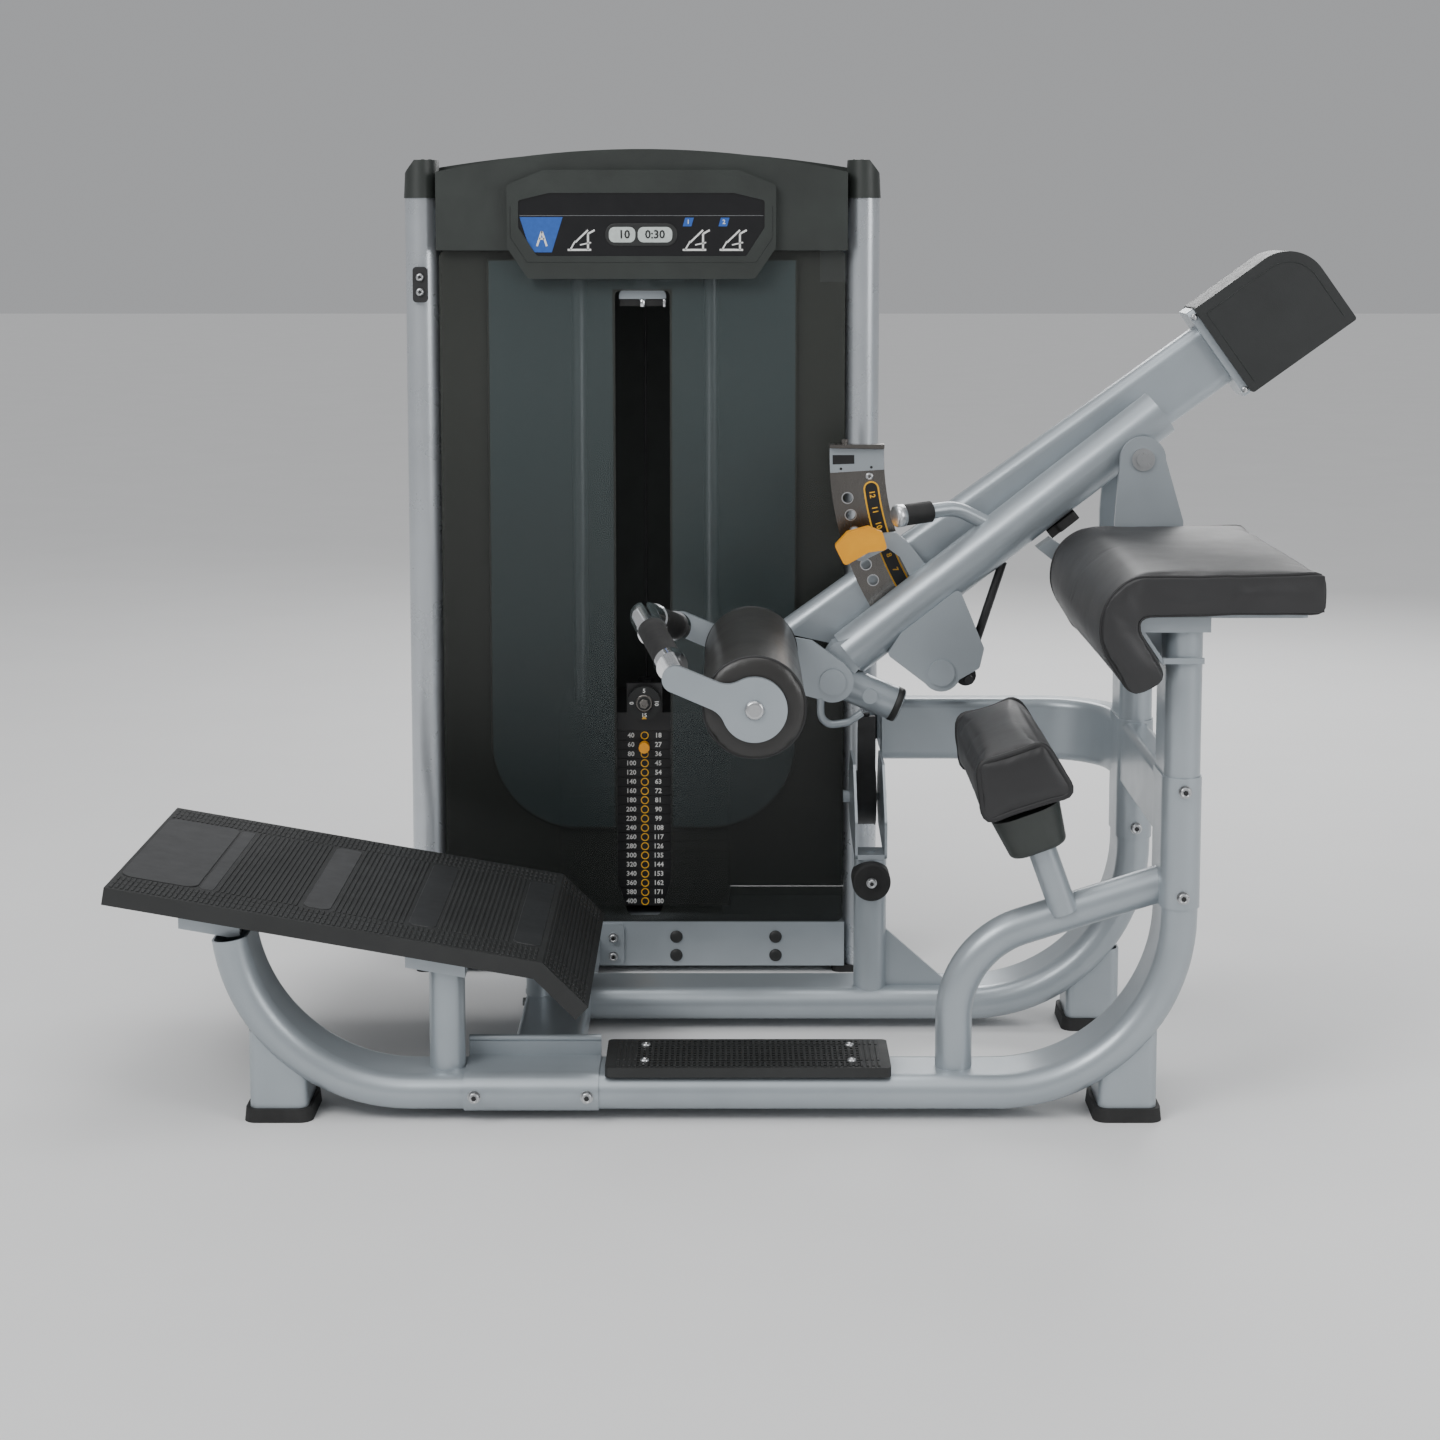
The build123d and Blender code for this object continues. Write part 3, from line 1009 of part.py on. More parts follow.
LIFT_BOTTOM = STACK_BOTTOM + (PLATES - LIFTED) * PLATE_PITCH
TOP_PLATE_Z = STACK_BOTTOM + PLATES * PLATE_PITCH
TOP_PLATE_THICK = 31.0
SELECT_Z = LIFT_BOTTOM + (PLATE_PITCH - PLATE_GAP) / 2
SELECT_R = 4.8
DIAL_Z = 456.0
DIAL_R = 28.0
DIAL_STEM_R = 6.0
DIAL_HUB_R = 11.0
with BuildPart() as moving_plates:
    for level in range(LIFTED):
        add(plate_box(LIFT_BOTTOM + level * PLATE_PITCH, PLATE_PITCH - PLATE_GAP))
    add(plate_box(TOP_PLATE_Z, TOP_PLATE_THICK))
    add(post(TOWER_X, CABLE_Y, STEM_R, STACK_BOTTOM + 4, TOP_PLATE_Z + TOP_PLATE_THICK + 40))
    add(post(TOWER_X, CABLE_Y, ROD_CLEAR_R, TOP_PLATE_Z, TOP_PLATE_Z + TOP_PLATE_THICK))
    # Bracket on the top plate for the add-on weight dial.
    add(block(TOWER_X - 30, TOWER_X + 30, STACK_NEAR_Y, STACK_NEAR_Y + 12, TOP_PLATE_Z + 20, DIAL_Z + 30))
    add(pin(TOWER_X, DIAL_Z, DIAL_STEM_R + FIT, 200, STACK_NEAR_Y + 20), mode=Mode.SUBTRACT)
    add(pin(TOWER_X, SELECT_Z, SELECT_R + FIT, 200, CABLE_Y + 20), mode=Mode.SUBTRACT)
save(moving_plates.part, "moving_plates")

with BuildPart() as selector_pin:
    add(pin(TOWER_X, SELECT_Z, SELECT_R, 262, CABLE_Y + 15))
    add(pin(TOWER_X, SELECT_Z, 9, 244, 262))
save(selector_pin.part, "selector_pin")

with BuildPart() as addon_dial:
    add(pin(TOWER_X, DIAL_Z, DIAL_R, 254, 268))
    add(pin(TOWER_X, DIAL_Z, DIAL_HUB_R, 247, 254))
    add(pin(TOWER_X, DIAL_Z, DIAL_STEM_R, 268, 285))
save(addon_dial.part, "addon_dial")

# Cable from the stack over both head pulleys to the belt's clamp.
CABLE_R = 2.5
CLAMP_Z = 700.0
with BuildPart() as stack_cable:
    add(along([
        (TOWER_X, CABLE_Y, TOP_PLATE_Z + TOP_PLATE_THICK + 40.3),
        (TOWER_X, CABLE_Y, HEAD_PULLEY_Z + HEAD_PULLEY_R + CABLE_R + 0.02),
        (BELT_X, CABLE_Y, HEAD_PULLEY_Z + HEAD_PULLEY_R + CABLE_R + 0.02),
        (BELT_X, CABLE_Y, CLAMP_Z + 24),
    ], [HEAD_PULLEY_R + CABLE_R] * 2, CABLE_R))
    add(block(BELT_X - 17, BELT_X + 17, CABLE_Y - 8, CABLE_Y + 8, CLAMP_Z, CLAMP_Z + 30))
save(stack_cable.part, "stack_cable")

with BuildPart() as drive_belt:
    with BuildLine(Plane.YZ.offset(BELT_X)) as belt_path:
        FilletPolyline(
            (BELT_Y, 452), (BELT_Y, BELT_LOW_Z), (CABLE_Y, BELT_LOW_Z), (CABLE_Y, CLAMP_Z),
            radius=[FRONT_R + BELT_THICK / 2 + BELT_GAP, REAR_PULLEY_R + BELT_THICK / 2 + BELT_GAP],
        )
    with BuildSketch(Plane(origin=belt_path.line @ 0, x_dir=(1, 0, 0), z_dir=(0, 0, -1))):
        Rectangle(BELT_WIDTH, BELT_THICK)
    sweep()
    add(block(BELT_X - 14, BELT_X + 14, BELT_Y - 7, BELT_Y + 7, 452, 470))
    add(post(BELT_X, BELT_Y, 5, 470, 475))
save(drive_belt.part, "drive_belt")

with BuildPart() as rear_pulley:
    add(axle(REAR_PULLEY_Y, REAR_PULLEY_Z, REAR_PULLEY_R, BELT_X - 16.5, BELT_X + 16.5))
    add(axle(REAR_PULLEY_Y, REAR_PULLEY_Z, AXLE_R + FIT, BELT_X - 20, BELT_X + 20), mode=Mode.SUBTRACT)
save(rear_pulley.part, "rear_pulley")

# ------------------------------------------------------------ tower bodywork
COVER_SIDE_Z = 1340.0
COVER_TOP_Z = 1377.0
COVER_X = (POST_X[0] + BASE_IN + 0.5, POST_X[1] - BASE_IN - 0.5)
COVER_WALL = 5.0


def cover_outline(near, left, right, inset):
    """Arched outline of the top cover, standing on its lower edge at this depth."""
    with BuildSketch(side(near)) as outline:
        with BuildLine():
            arch_left = (left, COVER_SIDE_Z - inset)
            arch_right = (right, COVER_SIDE_Z - inset)
            Polyline(arch_left, (left, COVER_BOTTOM), (right, COVER_BOTTOM), arch_right)
            ThreePointArc(arch_left, (TOWER_X, COVER_TOP_Z - inset), arch_right)
        make_face()
    return outline.sketch


CAP_HEIGHT = 62.0
COVER_NEAR = 212.0
COVER_SPLIT = POST_FAR_Y + 1.0
REAR_X = (POST_X[0] - 27.0, POST_X[1] + 27.0)
with BuildPart() as cover_front:
    extrude(cover_outline(COVER_SPLIT, *COVER_X, 0), amount=COVER_SPLIT - COVER_NEAR)
    front_room = cover_outline(COVER_SPLIT + 10, COVER_X[0] - 20, COVER_X[1] + 20, COVER_WALL)
    extrude(front_room, amount=COVER_SPLIT + 10 - COVER_NEAR - COVER_WALL, mode=Mode.SUBTRACT)
with BuildPart() as cover_rear:
    extrude(cover_outline(TOWER_BACK, *REAR_X, 0), amount=TOWER_BACK - COVER_SPLIT)
    fillet(cover_rear.edges().filter_by(Axis.Z).group_by(Axis.Y)[-1], 14)
    rear_room = cover_outline(TOWER_BACK - COVER_WALL, REAR_X[0] + COVER_WALL, REAR_X[1] - COVER_WALL, COVER_WALL)
    extrude(rear_room, amount=TOWER_BACK - COVER_SPLIT - 2 * COVER_WALL, mode=Mode.SUBTRACT)
    add(
        block(REAR_X[0], REAR_X[1], COVER_SPLIT - 1, TOWER_BACK + 1, COVER_BOTTOM - 5, COVER_BOTTOM),
        mode=Mode.SUBTRACT,
    )
    add(block(COVER_X[0], COVER_X[1], COVER_SPLIT - 1, COVER_SPLIT + 6, COVER_BOTTOM - 1, 1320), mode=Mode.SUBTRACT)
with BuildPart() as post_caps:
    for tower_post_x in POST_X:
        with BuildSketch(Plane.XY.offset(POST_TOP)):
            with Locations((tower_post_x, POST_MID_Y - 1)):
                SlotOverall(POST_FAR_Y - POST_NEAR_Y + 3, POST_WIDTH + 3, rotation=90)
        extrude(amount=CAP_HEIGHT, taper=3)
    # Each cap slopes down towards the outside.
    for cap_side, cap_x in zip((-1, 1), POST_X):
        add(slab([
            (cap_x + cap_side * 8, POST_TOP + CAP_HEIGHT + 1), (cap_x + cap_side * 36, POST_TOP + CAP_HEIGHT + 1),
            (cap_x + cap_side * 36, POST_TOP + CAP_HEIGHT - 34),
        ], POST_NEAR_Y - 5, POST_FAR_Y + 5), mode=Mode.SUBTRACT)
    add(block(COVER_X[0], COVER_X[1], 200, 330, POST_TOP - 1, COVER_TOP_Z), mode=Mode.SUBTRACT)
    add(block(REAR_X[0] - 5, REAR_X[1] + 5, COVER_SPLIT, 340, POST_TOP - 1, COVER_TOP_Z), mode=Mode.SUBTRACT)
cover_solids = [*cover_front.part.solids(), *cover_rear.part.solids(), *post_caps.part.solids()]
save(Compound(children=cover_solids), "top_cover")

CONSOLE_X = (TOWER_X - 218.5, TOWER_X + 218.5)
CONSOLE_Z = (1167.0, 1343.0)
CONSOLE_NEAR = 196.0
PANEL_X = (TOWER_X - 200.0, TOWER_X + 200.0)
PANEL_Z = (1204.0, 1306.0)
PANEL_BACK = 200.0
CONSOLE_SHAPE = [
    (CONSOLE_X[0], CONSOLE_Z[1] - 24), (CONSOLE_X[0], CONSOLE_Z[0] + 50), (CONSOLE_X[0] + 34, CONSOLE_Z[0]),
    (CONSOLE_X[1] - 34, CONSOLE_Z[0]), (CONSOLE_X[1], CONSOLE_Z[0] + 50), (CONSOLE_X[1], CONSOLE_Z[1] - 24),
    (CONSOLE_X[1] - 60, CONSOLE_Z[1]), (CONSOLE_X[0] + 60, CONSOLE_Z[1]),
]
PANEL_SHAPE = [
    (PANEL_X[0], PANEL_Z[1] - 12), (PANEL_X[0], PANEL_Z[0] + 46), (PANEL_X[0] + 30, PANEL_Z[0]),
    (PANEL_X[1] - 30, PANEL_Z[0]), (PANEL_X[1], PANEL_Z[0] + 46), (PANEL_X[1], PANEL_Z[1] - 12),
    (PANEL_X[1] - 50, PANEL_Z[1]), (PANEL_X[0] + 50, PANEL_Z[1]),
]
with BuildPart() as console_frame:
    add(slab(CONSOLE_SHAPE, CONSOLE_NEAR, COVER_NEAR, 8))
    add(slab(PANEL_SHAPE, CONSOLE_NEAR, PANEL_BACK + 4, 5), mode=Mode.SUBTRACT)
save(console_frame.part, "console_frame")
save(slab(PANEL_SHAPE, PANEL_BACK, PANEL_BACK + 4, 5), "console_panel")

# Tinted front shroud with its raised window and the open slot over the stack labels.
SHROUD_X = (POST_X[0] + BASE_IN + 3, POST_X[1] - BASE_IN - 3)
SHROUD_Z = (BASE_TOP + 0.5, COVER_BOTTOM - 0.5)
SHROUD_Y = (232.0, 236.0)
WINDOW_X = (TOWER_X - 254.0, TOWER_X + 254.0)
WINDOW_BOTTOM = 249.0
WINDOW_R = 145.0
SLOT_HALF = 45.0
SLOT_TOP = 1147.0
SLOT_SHAPE = [
    (TOWER_X - SLOT_HALF, SLOT_TOP), (TOWER_X - SLOT_HALF, SHROUD_Z[0] + 70), (TOWER_X - 26, SHROUD_Z[0] + 10),
    (TOWER_X + 26, SHROUD_Z[0] + 10), (TOWER_X + SLOT_HALF, SHROUD_Z[0] + 70), (TOWER_X + SLOT_HALF, SLOT_TOP),
]
with BuildPart() as front_shroud:
    add(slab([
        (SHROUD_X[0], SHROUD_Z[1]), (SHROUD_X[0], SHROUD_Z[0]), (SHROUD_X[1], SHROUD_Z[0]), (SHROUD_X[1], SHROUD_Z[1]),
    ], SHROUD_Y[0], SHROUD_Y[1], 12))
    with BuildSketch(side(SHROUD_Y[0])) as window:
        with BuildLine():
            Polyline(
                (WINDOW_X[0], SHROUD_Z[1] - 14), (WINDOW_X[0], WINDOW_BOTTOM),
                (WINDOW_X[1], WINDOW_BOTTOM), (WINDOW_X[1], SHROUD_Z[1] - 14), close=True,
            )
        make_face()
        fillet(window.vertices().group_by(Axis.Y)[0], WINDOW_R)
    extrude(amount=7)
    add(slab(SLOT_SHAPE, SHROUD_Y[0] - 20, SHROUD_Y[1] + 20, 8), mode=Mode.SUBTRACT)
save(front_shroud.part, "front_shroud")

REAR_WALL = 4.0
with BuildPart() as rear_shroud:
    add(block(REAR_X[0], REAR_X[1], POST_FAR_Y - 60, TOWER_BACK, BASE_TOP - 19.5, COVER_BOTTOM - 0.5, 20))
    add(block(
        REAR_X[0] + REAR_WALL, REAR_X[1] - REAR_WALL, POST_FAR_Y - 60, TOWER_BACK - REAR_WALL,
        BASE_TOP - 30, COVER_BOTTOM + 10, 16,
    ), mode=Mode.SUBTRACT)
    add(
        block(REAR_X[0] - 1, REAR_X[1] + 1, POST_FAR_Y - 61, POST_FAR_Y + 0.5, 0, COVER_BOTTOM + 10),
        mode=Mode.SUBTRACT,
    )
save(rear_shroud.part, "rear_shroud")

# Dark accessory bracket with two screws on the left post.
with BuildPart() as accessory_bracket:
    add(slab([
        (POST_X[0] - 12, 1186), (POST_X[0] - 12, 1128), (POST_X[0] + 12, 1128), (POST_X[0] + 12, 1186),
    ], POST_NEAR_Y - 9, POST_NEAR_Y + 12, 6))
    for screw_z in (1145, 1169):
        add(pin(POST_X[0], screw_z, 6, POST_NEAR_Y - 12, POST_NEAR_Y - 9))
    add(tower_posts.part, mode=Mode.SUBTRACT)
    with BuildSketch(Plane.XY.offset(1100)):
        with Locations((POST_X[0], POST_MID_Y)):
            SlotOverall(POST_FAR_Y - POST_NEAR_Y, POST_WIDTH, rotation=90)
    extrude(amount=120, mode=Mode.SUBTRACT)
save(accessory_bracket.part, "accessory_bracket")

# Rubber stop under the arm, square to the tube.
stop_mid = arm_point(405, -ARM_R - 14.5)
with BuildPart() as rubber_stop:
    arm_dir = ((ARM_HIGH[0] - ARM_LOW[0]) / ARM_LENGTH, (ARM_HIGH[1] - ARM_LOW[1]) / ARM_LENGTH)
    with BuildSketch(Plane(
        origin=(stop_mid[0], ARM_Y, stop_mid[1]), x_dir=(0, 1, 0), z_dir=(-arm_dir[1], 0, arm_dir[0]),
    )):
        RectangleRounded(40, 38, 6)
    extrude(amount=14)
    extrude(rubber_stop.faces().sort_by(Axis.Z)[0], amount=16)
    add(pivot_fork.part, mode=Mode.SUBTRACT)
stop_solids = sorted(rubber_stop.part.solids(), key=lambda s: s.center().Z)
save(stop_solids[-1], "rubber_stop")


# ------------------------------------------------------------------ fasteners
def hex_bolt(x, y, z, facing, size=8.0):
    """Hexagon head bolt with a washer, its head pointing along facing."""
    with BuildPart() as bolt:
        with BuildSketch(Plane(origin=(x, y, z), z_dir=facing)):
            Circle(size * 1.15)
        extrude(amount=2)
        with BuildSketch(Plane(origin=(x, y, z), z_dir=facing).offset(2)):
            RegularPolygon(size * 0.95, 6)
        extrude(amount=6)
    return bolt.part


TOWARDS_FRONT = (0, -1, 0)
RAIL_FACE_Y = NEAR_Y - (RAIL_WIDTH + SLEEVE_GROW) / 2
COLUMN_FACE_Y = (RAIL_FACE_Y, FAR_Y - (RAIL_WIDTH + SLEEVE_GROW) / 2)
with BuildPart() as frame_bolts:
    for joint_bolt_x in (JOINT_X[0] + 16, JOINT_X[1] - 16):
        add(hex_bolt(joint_bolt_x, RAIL_FACE_Y, RAIL_Z, TOWARDS_FRONT))
    for face_y in COLUMN_FACE_Y:
        for bolt_z in (SLEEVE_BOTTOM + 18, SLEEVE_TOP - 18):
            add(hex_bolt(COLUMN_X, face_y, bolt_z, TOWARDS_FRONT))
    for bolt_z in (30, 62):
        add(hex_bolt(CROSS_X + 72, FLANGE_Y, bolt_z, TOWARDS_FRONT, 7))
        add(hex_bolt(CROSS_X - 72, FLANGE_Y, bolt_z, TOWARDS_FRONT, 7))
    for bolt_y in (FAR_Y - 32, FAR_Y + 32):
        add(hex_bolt(CROSS_X - CROSS_WIDTH / 2, bolt_y, RAIL_Z, (-1, 0, 0), 7))
    add(hex_bolt(BELT_X, BELT_POST_Y - ROUND_TUBE - 18, BUMPER_Z, TOWARDS_FRONT, 7))
save(frame_bolts.part, "frame_bolts")
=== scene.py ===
from math import cos, pi, radians, sin

import bmesh
import bpy
from mathutils import Euler, Matrix, Vector


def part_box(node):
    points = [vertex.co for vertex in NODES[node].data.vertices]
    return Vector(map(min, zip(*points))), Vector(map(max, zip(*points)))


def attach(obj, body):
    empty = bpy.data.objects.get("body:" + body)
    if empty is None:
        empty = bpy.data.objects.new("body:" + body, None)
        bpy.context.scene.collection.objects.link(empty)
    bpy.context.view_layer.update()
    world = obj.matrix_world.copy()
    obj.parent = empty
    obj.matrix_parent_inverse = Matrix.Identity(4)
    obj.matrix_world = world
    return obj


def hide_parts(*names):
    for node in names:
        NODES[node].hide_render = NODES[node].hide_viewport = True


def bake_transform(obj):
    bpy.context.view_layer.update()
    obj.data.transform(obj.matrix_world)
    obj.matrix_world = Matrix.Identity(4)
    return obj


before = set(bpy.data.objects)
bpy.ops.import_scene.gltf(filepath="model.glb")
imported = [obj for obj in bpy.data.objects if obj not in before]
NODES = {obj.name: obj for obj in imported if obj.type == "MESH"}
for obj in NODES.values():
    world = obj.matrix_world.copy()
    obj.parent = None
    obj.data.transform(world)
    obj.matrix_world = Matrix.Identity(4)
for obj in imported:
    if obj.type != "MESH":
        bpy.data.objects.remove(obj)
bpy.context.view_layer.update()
SCENE = bpy.context.scene
FRONT = (0, -1, 0)

# ---- camera
# A level eye 1.27 m up, a little left of the middle, aimed slightly down.
EYE = Vector((-0.068, -4.08, 1.27))
EYE_PITCH = radians(6.29)
LENS = 65.5
SHIFT_Y = -0.15
SHIFT_X = -0.0035


def make_camera():
    data = bpy.data.cameras.new("camera")
    data.lens = LENS
    data.sensor_width = 36.0
    data.shift_x = SHIFT_X
    data.shift_y = SHIFT_Y
    data.clip_end = 60.0
    camera = bpy.data.objects.new("camera", data)
    camera.location = EYE
    camera.rotation_euler = Euler((pi / 2 - EYE_PITCH, 0, 0))
    SCENE.collection.objects.link(camera)
    SCENE.camera = camera


make_camera()


# ---- materials
def shader(name, color, rough=0.5, metallic=0.0, coat=0.0, alpha=1.0, sheen=0.0):
    """A Principled material and its main nodes."""
    made = bpy.data.materials.new(name)
    made.use_nodes = True
    tree = made.node_tree
    bsdf = tree.nodes["Principled BSDF"]
    bsdf.inputs["Base Color"].default_value = (*color, 1)
    bsdf.inputs["Roughness"].default_value = rough
    bsdf.inputs["Metallic"].default_value = metallic
    bsdf.inputs["Coat Weight"].default_value = coat
    bsdf.inputs["Alpha"].default_value = alpha
    bsdf.inputs["Sheen Weight"].default_value = sheen
    made.diffuse_color = (*color, alpha)
    return made, tree, bsdf


def coordinates(tree):
    """The object's own coordinates, in metres."""
    return tree.nodes.new("ShaderNodeTexCoord").outputs["Object"]


def noise(tree, scale, detail=4.0, rough=0.6):
    """Smooth noise; scale is in waves per metre."""
    node = tree.nodes.new("ShaderNodeTexNoise")
    node.inputs["Scale"].default_value = scale
    node.inputs["Detail"].default_value = detail
    node.inputs["Roughness"].default_value = rough
    tree.links.new(coordinates(tree), node.inputs["Vector"])
    return node.outputs["Fac"]


def cells(tree, scale, feature="F1"):
    """Distance inside random cells, for a pebbled grain."""
    node = tree.nodes.new("ShaderNodeTexVoronoi")
    node.feature = feature
    node.inputs["Scale"].default_value = scale
    tree.links.new(coordinates(tree), node.inputs["Vector"])
    return node.outputs["Distance"]


def ramp(tree, source, low, high, at=(0.3, 0.7)):
    """A blend of two colours, driven by a value."""
    node = tree.nodes.new("ShaderNodeValToRGB")
    node.color_ramp.elements[0].position = at[0]
    node.color_ramp.elements[1].position = at[1]
    node.color_ramp.elements[0].color = (*low, 1)
    node.color_ramp.elements[1].color = (*high, 1)
    tree.links.new(source, node.inputs["Fac"])
    return node.outputs["Color"]


def spread(tree, source, low, high):
    """A value from 0 to 1, mapped between two others."""
    node = tree.nodes.new("ShaderNodeMapRange")
    node.inputs["To Min"].default_value = low
    node.inputs["To Max"].default_value = high
    tree.links.new(source, node.inputs["Value"])
    return node.outputs["Result"]


def bump(tree, bsdf, heights, distance=0.0004):
    """Stacks bump nodes, one for each (height, strength)."""
    last = None
    for height, strength in heights:
        node = tree.nodes.new("ShaderNodeBump")
        node.inputs["Strength"].default_value = strength
        node.inputs["Distance"].default_value = distance
        tree.links.new(height, node.inputs["Height"])
        if last:
            tree.links.new(last, node.inputs["Normal"])
        last = node.outputs["Normal"]
    tree.links.new(last, bsdf.inputs["Normal"])


def shade(color, factor):
    """The same colour, darker or lighter."""
    return tuple(min(1.0, c * factor) for c in color)


def uneven_colour(tree, bsdf, source, color, low, high):
    """Lets the colour wander between two shades of itself."""
    tree.links.new(ramp(tree, source, shade(color, low), shade(color, high)), bsdf.inputs["Base Color"])


def uneven_gloss(tree, bsdf, source, low, high):
    """Lets the roughness wander between two values."""
    tree.links.new(spread(tree, source, low, high), bsdf.inputs["Roughness"])


def powder_coat(name, color, rough=0.33, metallic=0.45, peel=1.0):
    """Silver-grey powder coat: faint orange peel, fine flake and soft grime."""
    made, tree, bsdf = shader(name, color, rough, metallic, coat=0.25)
    uneven_colour(tree, bsdf, noise(tree, 5.0, 3.0), color, 0.93, 1.07)
    uneven_gloss(tree, bsdf, noise(tree, 22.0), rough - 0.06, rough + 0.1)
    bsdf.inputs["Coat Roughness"].default_value = 0.22
    bump(tree, bsdf, [(noise(tree, 420.0, 2.0), 0.10 * peel), (noise(tree, 1800.0, 1.0), 0.06 * peel)])
    return made


def moulded(name, color, rough=0.5, grain=900.0, strength=0.3, coat=0.0):
    """Moulded plastic with a fine spark-eroded grain and scuffs that change its gloss."""
    made, tree, bsdf = shader(name, color, rough, coat=coat)
    uneven_colour(tree, bsdf, noise(tree, 9.0), color, 0.82, 1.2)
    uneven_gloss(tree, bsdf, noise(tree, 34.0), rough - 0.09, rough + 0.12)
    bump(tree, bsdf, [(cells(tree, grain), strength), (noise(tree, grain * 1.7, 2.0), strength * 0.5)], 0.0002)
    return made


def leather(name, color, rough=0.5):
    """Upholstery vinyl with a pebbled grain, creases and handled patches."""
    made, tree, bsdf = shader(name, color, rough, coat=0.06, sheen=0.02)
    uneven_colour(tree, bsdf, noise(tree, 6.0), color, 0.8, 1.35)
    uneven_gloss(tree, bsdf, noise(tree, 14.0), rough - 0.08, rough + 0.12)
    bsdf.inputs["Coat Roughness"].default_value = 0.35
    pebbles = cells(tree, 620.0, "SMOOTH_F1")
    grain = noise(tree, 1500.0, 2.0)
    creases = noise(tree, 60.0, 3.0)
    bump(tree, bsdf, [(pebbles, 0.34), (grain, 0.16), (creases, 0.10)], 0.0003)
    return made


def rubber(name, color, rough=0.68):
    """Matt rubber with a fine worn grain."""
    made, tree, bsdf = shader(name, color, rough)
    uneven_colour(tree, bsdf, noise(tree, 40.0), color, 0.75, 1.4)
    uneven_gloss(tree, bsdf, noise(tree, 70.0), rough - 0.1, rough + 0.12)
    bump(tree, bsdf, [(noise(tree, 1300.0, 3.0), 0.3)], 0.0002)
    return made


def metal(name, color, rough, stretch=(1.0, 1.0, 1.0), strength=0.08):
    """Bare metal with fine scratches, drawn out along one way by stretch."""
    made, tree, bsdf = shader(name, color, rough, 1.0)
    mapping = tree.nodes.new("ShaderNodeMapping")
    mapping.inputs["Scale"].default_value = stretch
    tree.links.new(coordinates(tree), mapping.inputs["Vector"])
    scratch = tree.nodes.new("ShaderNodeTexNoise")
    scratch.inputs["Scale"].default_value = 180.0
    scratch.inputs["Detail"].default_value = 5.0
    tree.links.new(mapping.outputs["Vector"], scratch.inputs["Vector"])
    uneven_gloss(tree, bsdf, scratch.outputs["Fac"], max(0.03, rough - 0.06), rough + 0.1)
    uneven_colour(tree, bsdf, noise(tree, 12.0), color, 0.9, 1.05)
    bump(tree, bsdf, [(scratch.outputs["Fac"], strength)], 0.0002)
    return made


# Heights over which the smoked sheets' colour grows lighter upwards: painted light on their upper part.
PAINTED_LIGHT_HEIGHTS = (0.25, 1.0)


def tinted(name, low_color, painted_light_color, alpha, rough=0.26):
    """Smoked polycarbonate sheet with faint haze and wipe marks; its colour grows lighter towards its top,
    which is painted light.
    """
    made, tree, bsdf = shader(name, low_color, rough, alpha=alpha)
    height = tree.nodes.new("ShaderNodeSeparateXYZ")
    tree.links.new(coordinates(tree), height.inputs["Vector"])
    # Painted light: the colour runs from low_color at the bottom to a lighter colour at the top.
    painted_top_light = ramp(tree, height.outputs["Z"], low_color, painted_light_color, PAINTED_LIGHT_HEIGHTS)
    tree.links.new(painted_top_light, bsdf.inputs["Base Color"])
    uneven_gloss(tree, bsdf, noise(tree, 7.0, 6.0), rough, rough + 0.12)
    bump(tree, bsdf, [(noise(tree, 4.0, 2.0), 0.05)], 0.001)
    made.surface_render_method = "BLENDED"
    return made


def printed(name, color, rough=0.45):
    """Screen-printed or moulded-in colour with slight unevenness."""
    made, tree, bsdf = shader(name, color, rough)
    uneven_colour(tree, bsdf, noise(tree, 160.0), color, 0.9, 1.08)
    bump(tree, bsdf, [(noise(tree, 900.0, 2.0), 0.06)], 0.0001)
    return made


PAINT = powder_coat("silver_powder_coat", (0.36, 0.40, 0.43))
POST_PAINT = powder_coat("silver_post_coat", (0.50, 0.53, 0.56), 0.27, 0.6)
OLIVE = moulded("olive_moulding", (0.026, 0.031, 0.028), 0.44, 700.0, 0.2)
OLIVE_DARK = moulded("olive_moulding_dark", (0.014, 0.017, 0.016), 0.42, 700.0, 0.2)
OLIVE_REAR = moulded("olive_rear_moulding", (0.024, 0.028, 0.026), 0.58, 90.0, 0.04)
BLACK = moulded("black_moulding", (0.017, 0.018, 0.018), 0.52)
PLATE_SMOOTH = moulded("smooth_moulding", (0.024, 0.025, 0.026), 0.38, 1400.0, 0.08)
PANEL = moulded("gloss_panel", (0.004, 0.004, 0.005), 0.16, 300.0, 0.03, 0.5)
HOUSING = moulded("housing_moulding", (0.016, 0.018, 0.018), 0.5, 800.0, 0.35)
VINYL = leather("black_vinyl", (0.016, 0.016, 0.017))
VINYL_BAND = leather("black_vinyl_band", (0.011, 0.011, 0.012), 0.55)
ROLLER_VINYL = leather("roller_vinyl", (0.022, 0.021, 0.020), 0.34)
RUBBER = rubber("black_rubber", (0.012, 0.012, 0.012))
BELT = rubber("belt_rubber", (0.014, 0.014, 0.015), 0.5)
STEEL = metal("zinc_steel", (0.55, 0.56, 0.57), 0.28)
ROD_STEEL = metal("ground_rod", (0.80, 0.84, 0.88), 0.34, (1.0, 1.0, 0.1))
ALUMINIUM = metal("satin_aluminium", (0.86, 0.87, 0.88), 0.34, strength=0.03)
CHROME = metal("chrome_plate", (0.86, 0.87, 0.88), 0.08, strength=0.02)
DARK_STEEL = metal("polished_dark_steel", (0.17, 0.16, 0.15), 0.24, (1.0, 1.0, 0.2))
IRON = powder_coat("black_iron", (0.018, 0.018, 0.019), 0.46, 0.1, 0.08)
# Each sheet's second, lighter colour is painted light at its top.
SHROUD = tinted("smoked_shroud_painted_light", (0.014, 0.016, 0.014), (0.052, 0.056, 0.050), 0.52)
